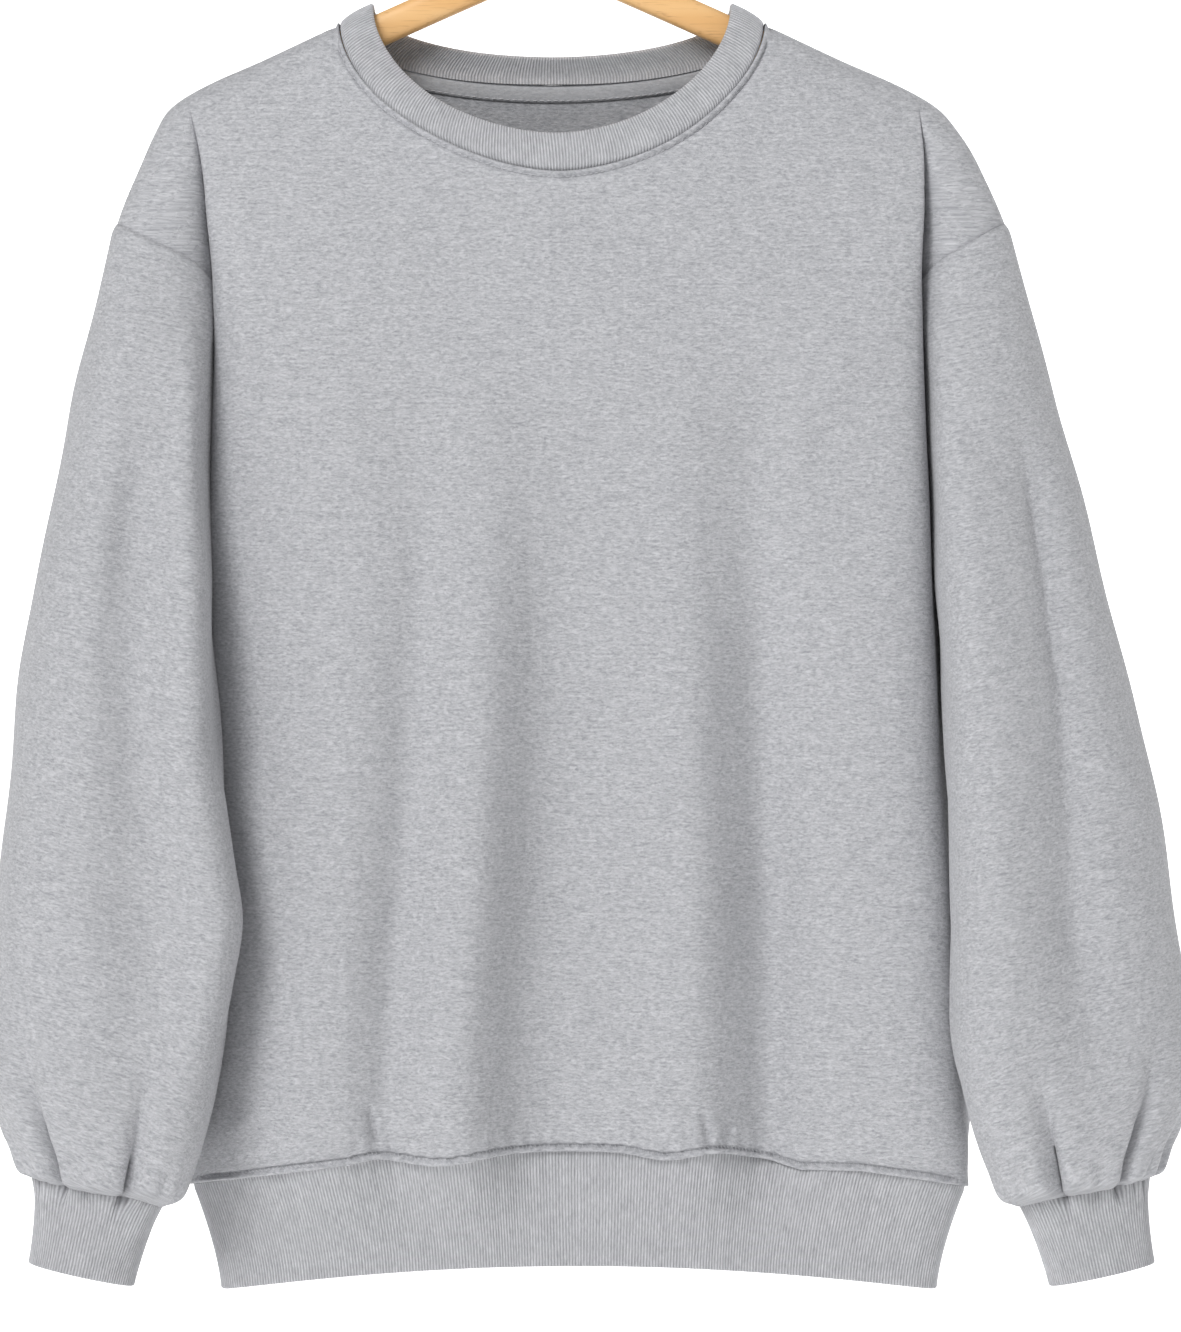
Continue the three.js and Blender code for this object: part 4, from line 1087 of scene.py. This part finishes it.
def stitchRow(name, line, out, shape):
    # Threads at an even pitch along a line: each a six-sided bar bowed up in the middle with
    # its ends sunk, slanted across the line by its own angle
    run = np.concatenate([[0], np.cumsum(np.linalg.norm(np.diff(line, axis=0), axis=1))])
    count = int(run[-1] / shape["pitch"]) - 1
    middle = (np.arange(count) + 1) * run[-1] / (count + 1)
    along = np.array([-1, -0.6, 0, 0.6, 1]) * shape["length"] / 2
    turned = math.radians(shape["slant"])
    at = middle[:, None] + along[None, :] * math.cos(turned)
    pick = lambda values: np.stack([np.interp(at, run, values[:, k]) for k in range(3)], -1)
    place, up = pick(line), unit(pick(out))
    forward = unit(np.stack([np.interp(at, run, np.gradient(line[:, k], run)) for k in range(3)], -1))
    aside = unit(np.cross(forward, up))
    bow = shape["lift"] - (shape["lift"] + 0.25) * (along / along[-1]) ** 2
    centre = place + up * bow[None, :, None] + aside * (along * math.sin(turned))[None, :, None]
    size = shape["thick"] / 2 * np.array([0.35, 0.9, 1, 0.9, 0.35])
    round6 = np.arange(6) * math.pi / 3
    way = up[..., None, :] * np.cos(round6)[:, None] + aside[..., None, :] * np.sin(round6)[:, None]
    point = centre[..., None, :] + way * size[None, :, None, None]
    bar = gridFaces(5, 6, closed=True)[:, ::-1]
    start = np.arange(count)[:, None] * 30
    sides = (bar[None] + start[..., None]).reshape(-1, 4).tolist()
    ends = np.concatenate([np.arange(6)[::-1][None] + start, np.arange(24, 30)[None] + start]).tolist()
    mesh = bpy.data.meshes.new(name)
    mesh.from_pydata((point.reshape(-1, 3) / 1000).tolist(), [], sides + ends)
    mesh.polygons.foreach_set("use_smooth", np.ones(len(mesh.polygons), bool))
    mesh.materials.append(threadPaint.material)
    mesh.update()
    piece = bpy.data.objects.new(name, mesh)
    bpy.context.scene.collection.objects.link(piece)
    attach(piece, "root")


def onBody(across, drop, face, lift):
    # A place on the body's cloth and its outward direction, by differences over half a millimetre
    point = bodyPoint(across, drop, face)
    out = np.cross(bodyPoint(across + 0.5, drop, face) - point, bodyPoint(across, drop + 0.5, face) - point)
    out = unit(out)
    out = out * np.sign(out[:, 1:2] * face)
    return point + out * lift, out


for face, faceName in [(-1, "front"), (1, "back")]:
    turn = np.linspace(0.24, math.pi - 0.24, 1500)
    across = body["side"](hemShape["level"]) * oval(np.cos(turn), 3.0)
    line, out = onBody(across, hemDrop(across, face) - hemShape["edge"] - 0.5, face, 0.0)
    stitchRow(f"stitches_hem_{faceName}", line, out, stitchShape["hem"])
    turn = np.linspace(0.12, math.pi - 0.12, 900)
    away = neckShape["edge"] + 0.5
    across = (neckShape["half"] + away) * oval(np.cos(turn), neckShape["square"][face])
    drop = (neckShape["drop"][face] + away) * oval(np.sin(turn), neckShape["square"][face])
    line, out = onBody(across, drop, face, -0.7 * neckShape["edgeRise"])
    stitchRow(f"stitches_neck_{faceName}", line, out, stitchShape["neck"])
turn = np.linspace(math.radians(22), math.radians(158), 900)
across = (neckShape["half"] + (tapeShape["half"] - neckShape["half"]) * 0.86) * np.cos(turn)
drop = neckShape["drop"][1] + (tapeShape["drop"] - neckShape["drop"][1]) * 0.86
drop = drop * np.sin(turn) + 4.5 * 0.86 * (1 - np.sin(turn))
line, out = onBody(across, drop, 1, -3.45)
stitchRow("stitches_tape", line, -out, stitchShape["tape"])
print("Topstitching made")

# Hanger
barShape = {"top": -52.0, "below": 3.5, "height": 20.0, "thick": 14.0, "half": 210.5, "square": 3.2}
hookShape = {"wire": 1.9, "radius": 24.0, "from": -25.0, "to": 240.0}


def woodPaint():
    # Pale wood: long streaks along the bar between two browns, darker pores, under lacquer
    paint = Paint("hanger_wood", roughness=0.42, specular=0.45)
    place = paint.place("Object")
    long = paint.mapped(place, (5, 60, 75))
    grain = paint.noise(long, 1.0, 4.0, 0.6)
    bands = ((paint.noise(paint.mapped(place, (2.2, 30, 34)), 1.0, 2.0) * 26).sine() + 1) * 0.5
    pores = paint.noise(paint.mapped(place, (40, 900, 900)), 1.0, 2.0)
    colour = paint.mix((grain * 0.75 + bands * 0.3).clamped(), linear(222, 168, 104), linear(241, 199, 142))
    colour = paint.mix(((pores - 0.56) * 6).clamped() * 0.5, colour, linear(176, 121, 66))
    return paint.finish(
        Base_Color=colour,
        Roughness=0.36 + grain * 0.14,
        Normal=paint.relief(grain * 0.6 + pores * 0.4, 0.0002, 0.4),
    )


def steelPaint():
    # Polished wire with faint drawing marks along it
    paint = Paint("hanger_wire", roughness=0.22)
    paint.shader.inputs["Metallic"].default_value = 1.0
    marks = paint.noise(paint.mapped(paint.place("Object"), (300, 300, 40)), 1.0, 2.0)
    colour = paint.mix(marks, linear(196, 197, 199), linear(222, 222, 224))
    return paint.finish(Base_Color=colour, Roughness=0.16 + marks * 0.16)


def barPiece():
    # Superellipse sections carried along the shoulder line, closing to round ends
    b = barShape
    end = b["half"]
    t = np.linspace(-1, 1, 241)
    along = end * np.sin(t * math.pi / 2) * 0.35 + end * t * 0.65
    along = along * end / np.abs(along).max()
    out = np.abs(along)
    topLine = np.maximum(b["top"], shoulderDrop(out) + b["below"])
    closing = np.sqrt(np.clip(1 - (np.clip(out - (end - 12), 0, 12) / 12) ** 2.4, 0, 1))
    high = b["height"] / 2 * (0.06 + 0.94 * closing)
    deep = b["thick"] / 2 * (0.06 + 0.94 * closing)
    middle = topLine + b["height"] / 2
    turn = np.linspace(0, 2 * math.pi, 33)[:-1]
    y = deep[:, None] * oval(np.cos(turn), b["square"])[None, :]
    z = shoulderLevel - middle[:, None] + high[:, None] * oval(np.sin(turn), b["square"])[None, :]
    x = along[:, None] + 0 * y
    ring = np.stack([x, y, z], -1)
    caps = np.stack([ring[0].mean(0), ring[-1].mean(0)])
    point = np.concatenate([ring.reshape(-1, 3), caps])
    faces = gridFaces(*ring.shape[:2], closed=True).tolist()
    last = len(ring) - 1
    number = np.arange(32)
    nextOne = (number + 1) % 32
    first = np.stack([number * 0 + len(point) - 2, number, nextOne], -1).tolist()
    closingFaces = np.stack([number * 0 + len(point) - 1, last * 32 + nextOne, last * 32 + number], -1).tolist()
    mesh = bpy.data.meshes.new("hanger_wood_bar")
    mesh.from_pydata((point / 1000).tolist(), [], faces + first + closingFaces)
    mesh.polygons.foreach_set("use_smooth", np.ones(len(mesh.polygons), bool))
    work = bmesh.new()
    work.from_mesh(mesh)
    bmesh.ops.recalc_face_normals(work, faces=work.faces)
    work.to_mesh(mesh)
    work.free()
    mesh.materials.append(woodPaint())
    piece = bpy.data.objects.new("hanger_wood_bar", mesh)
    bpy.context.scene.collection.objects.link(piece)
    return piece


def hookPiece():
    # Round wire carried along an arc, a soft s-bend and a straight foot in the wood
    h = hookShape
    middle = h["wire"] - h["radius"]
    foot = shoulderLevel - barShape["top"] - 2.0
    turn = np.radians(np.linspace(h["from"], h["to"], 72))
    arc = np.stack([h["radius"] * np.cos(turn), middle + h["radius"] * np.sin(turn)], -1)
    goingOn = np.array([-math.sin(turn[-1]), math.cos(turn[-1])])
    a, d = arc[-1], np.array([0, middle - 36])
    b, c = a + goingOn * 8, d + np.array([0, 8])
    t = np.linspace(0, 1, 22)[1:, None]
    bend = (1 - t) ** 3 * a + 3 * (1 - t) ** 2 * t * b + 3 * (1 - t) * t**2 * c + t**3 * d
    straight = np.stack([np.zeros(12), np.linspace(d[1], foot, 13)[1:]], -1)
    line = np.concatenate([arc, bend, straight])
    line = np.stack([line[:, 0], 0 * line[:, 0], line[:, 1]], -1)
    forward = unit(np.gradient(line, axis=0))
    beside = np.array([0.0, 1.0, 0.0])
    normal = unit(np.cross(forward, beside))
    around = np.linspace(0, 2 * math.pi, 17)[:-1]
    tip = np.array([[0.02], [0.5], [0.8], [0.95]])
    size = np.ones((len(line), 1))
    size[:4] = tip
    offset = normal[:, None] * np.cos(around)[None, :, None] + beside * np.sin(around)[None, :, None]
    ring = line[:, None] + offset * (size * h["wire"])[..., None]
    step = h["wire"] * np.array([0.0, 0.1, 0.3, 0.6])
    ring[:4] = (line[4] - forward[4] * (h["wire"] - step)[:, None])[:, None] + offset[:4] * (tip * h["wire"])[..., None]
    faces = gridFaces(*ring.shape[:2], closed=True)
    piece = makePiece("hanger_wire_hook", ring.reshape(-1, 3), faces, steelPaint())
    work = bmesh.new()
    work.from_mesh(piece.data)
    open = [e for e in work.edges if e.is_boundary]
    bmesh.ops.holes_fill(work, edges=open, sides=0)
    bmesh.ops.recalc_face_normals(work, faces=work.faces)
    work.to_mesh(piece.data)
    work.free()
    return piece


bar = barPiece()
hook = hookPiece()
for piece, node, slot in [(bar, "hanger_bar", "wood"), (hook, "hanger_hook", "steel")]:
    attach(piece, "root")
    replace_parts(piece, node)
print("Hanger made")

# Floor, light and camera
studio = {
    "floor": -1.5,
    "deep": 7.5,
    "wide": 9.0,
    "keyPlace": (-3.1, -5.83, 3.07),
    "keySize": 2.6,
    "keyPower": 318.0,
    "rimPlace": (3.4, 0.5, 0.3),
    "rimPower": 26.0,
    "topPlace": (0.0, -0.7, 1.0),
    "topPower": 3.2,
    "world": 0.28,
    "floorGlow": (0.45, 0.45, 0.45),
    "wallGlow": (0.85, 0.85, 0.85),
}


def backdrop():
    # A floor that curves up into a wall: straight, a quarter circle, straight
    s = studio
    bend = np.linspace(0, math.pi / 2, 24)
    radius = 2.0
    y = np.concatenate([[-6.5], s["deep"] - radius + radius * np.sin(bend), [s["deep"]]])
    z = np.concatenate([[0], radius - radius * np.cos(bend), [5.5]]) + s["floor"]
    x = np.array([-s["wide"], s["wide"]])
    point = np.stack(np.broadcast_arrays(x[None, :], y[:, None], z[:, None]), -1) * 1000
    paint = Paint("backdrop", roughness=0.95, specular=0.1)
    paper = paint.noise(paint.place("Object"), 3.0, 2.0)
    paint.finish(Base_Color=paint.mix(paper, (0.93, 0.93, 0.93), (0.95, 0.95, 0.95)))
    glow = paint.mix(((paint.split(paint.place("Object"))[1] - 2.0) * 0.4).clamped(), s["floorGlow"], s["wallGlow"])
    paint.feed(paint.shader.inputs["Emission Color"], glow)
    paint.shader.inputs["Emission Strength"].default_value = 1.0
    wall = makePiece("backdrop", point.reshape(-1, 3), gridFaces(*point.shape[:2])[:, ::-1], paint.material)


def areaLight(name, place, target, size, power):
    light = bpy.data.lights.new(name, "AREA")
    light.shape = "SQUARE"
    light.size = size
    light.energy = power
    lamp = bpy.data.objects.new(name, light)
    lamp.location = place
    lamp.rotation_euler = (Vector(target) - Vector(place)).to_track_quat("-Z", "Y").to_euler()
    bpy.context.scene.collection.objects.link(lamp)


backdrop()
areaLight("key", studio["keyPlace"], (0, 0, -0.45), studio["keySize"], studio["keyPower"])
areaLight("rim", studio["rimPlace"], (0.2, 0, -0.45), 1.6, studio["rimPower"])
areaLight("top", studio["topPlace"], (0, 0, -0.2), 0.9, studio["topPower"])
world = bpy.data.worlds.new("studio")
world.use_nodes = True
world.node_tree.nodes["Background"].inputs["Color"].default_value = (1, 1, 1, 1)
world.node_tree.nodes["Background"].inputs["Strength"].default_value = studio["world"]
bpy.context.scene.world = world
bpy.context.scene.view_settings.view_transform = "Standard"

view = {"distance": 4.0, "height": 0.7606, "x": 0.022, "z": -0.503}
camera = bpy.data.objects.new("camera", bpy.data.cameras.new("camera"))
camera.data.sensor_width = 36
camera.data.lens = 36 * view["distance"] / view["height"]
camera.location = (view["x"], -view["distance"], view["z"])
camera.rotation_euler = (math.pi / 2, 0, 0)
bpy.context.scene.collection.objects.link(camera)
bpy.context.scene.camera = camera
print("Floor, light and camera set")
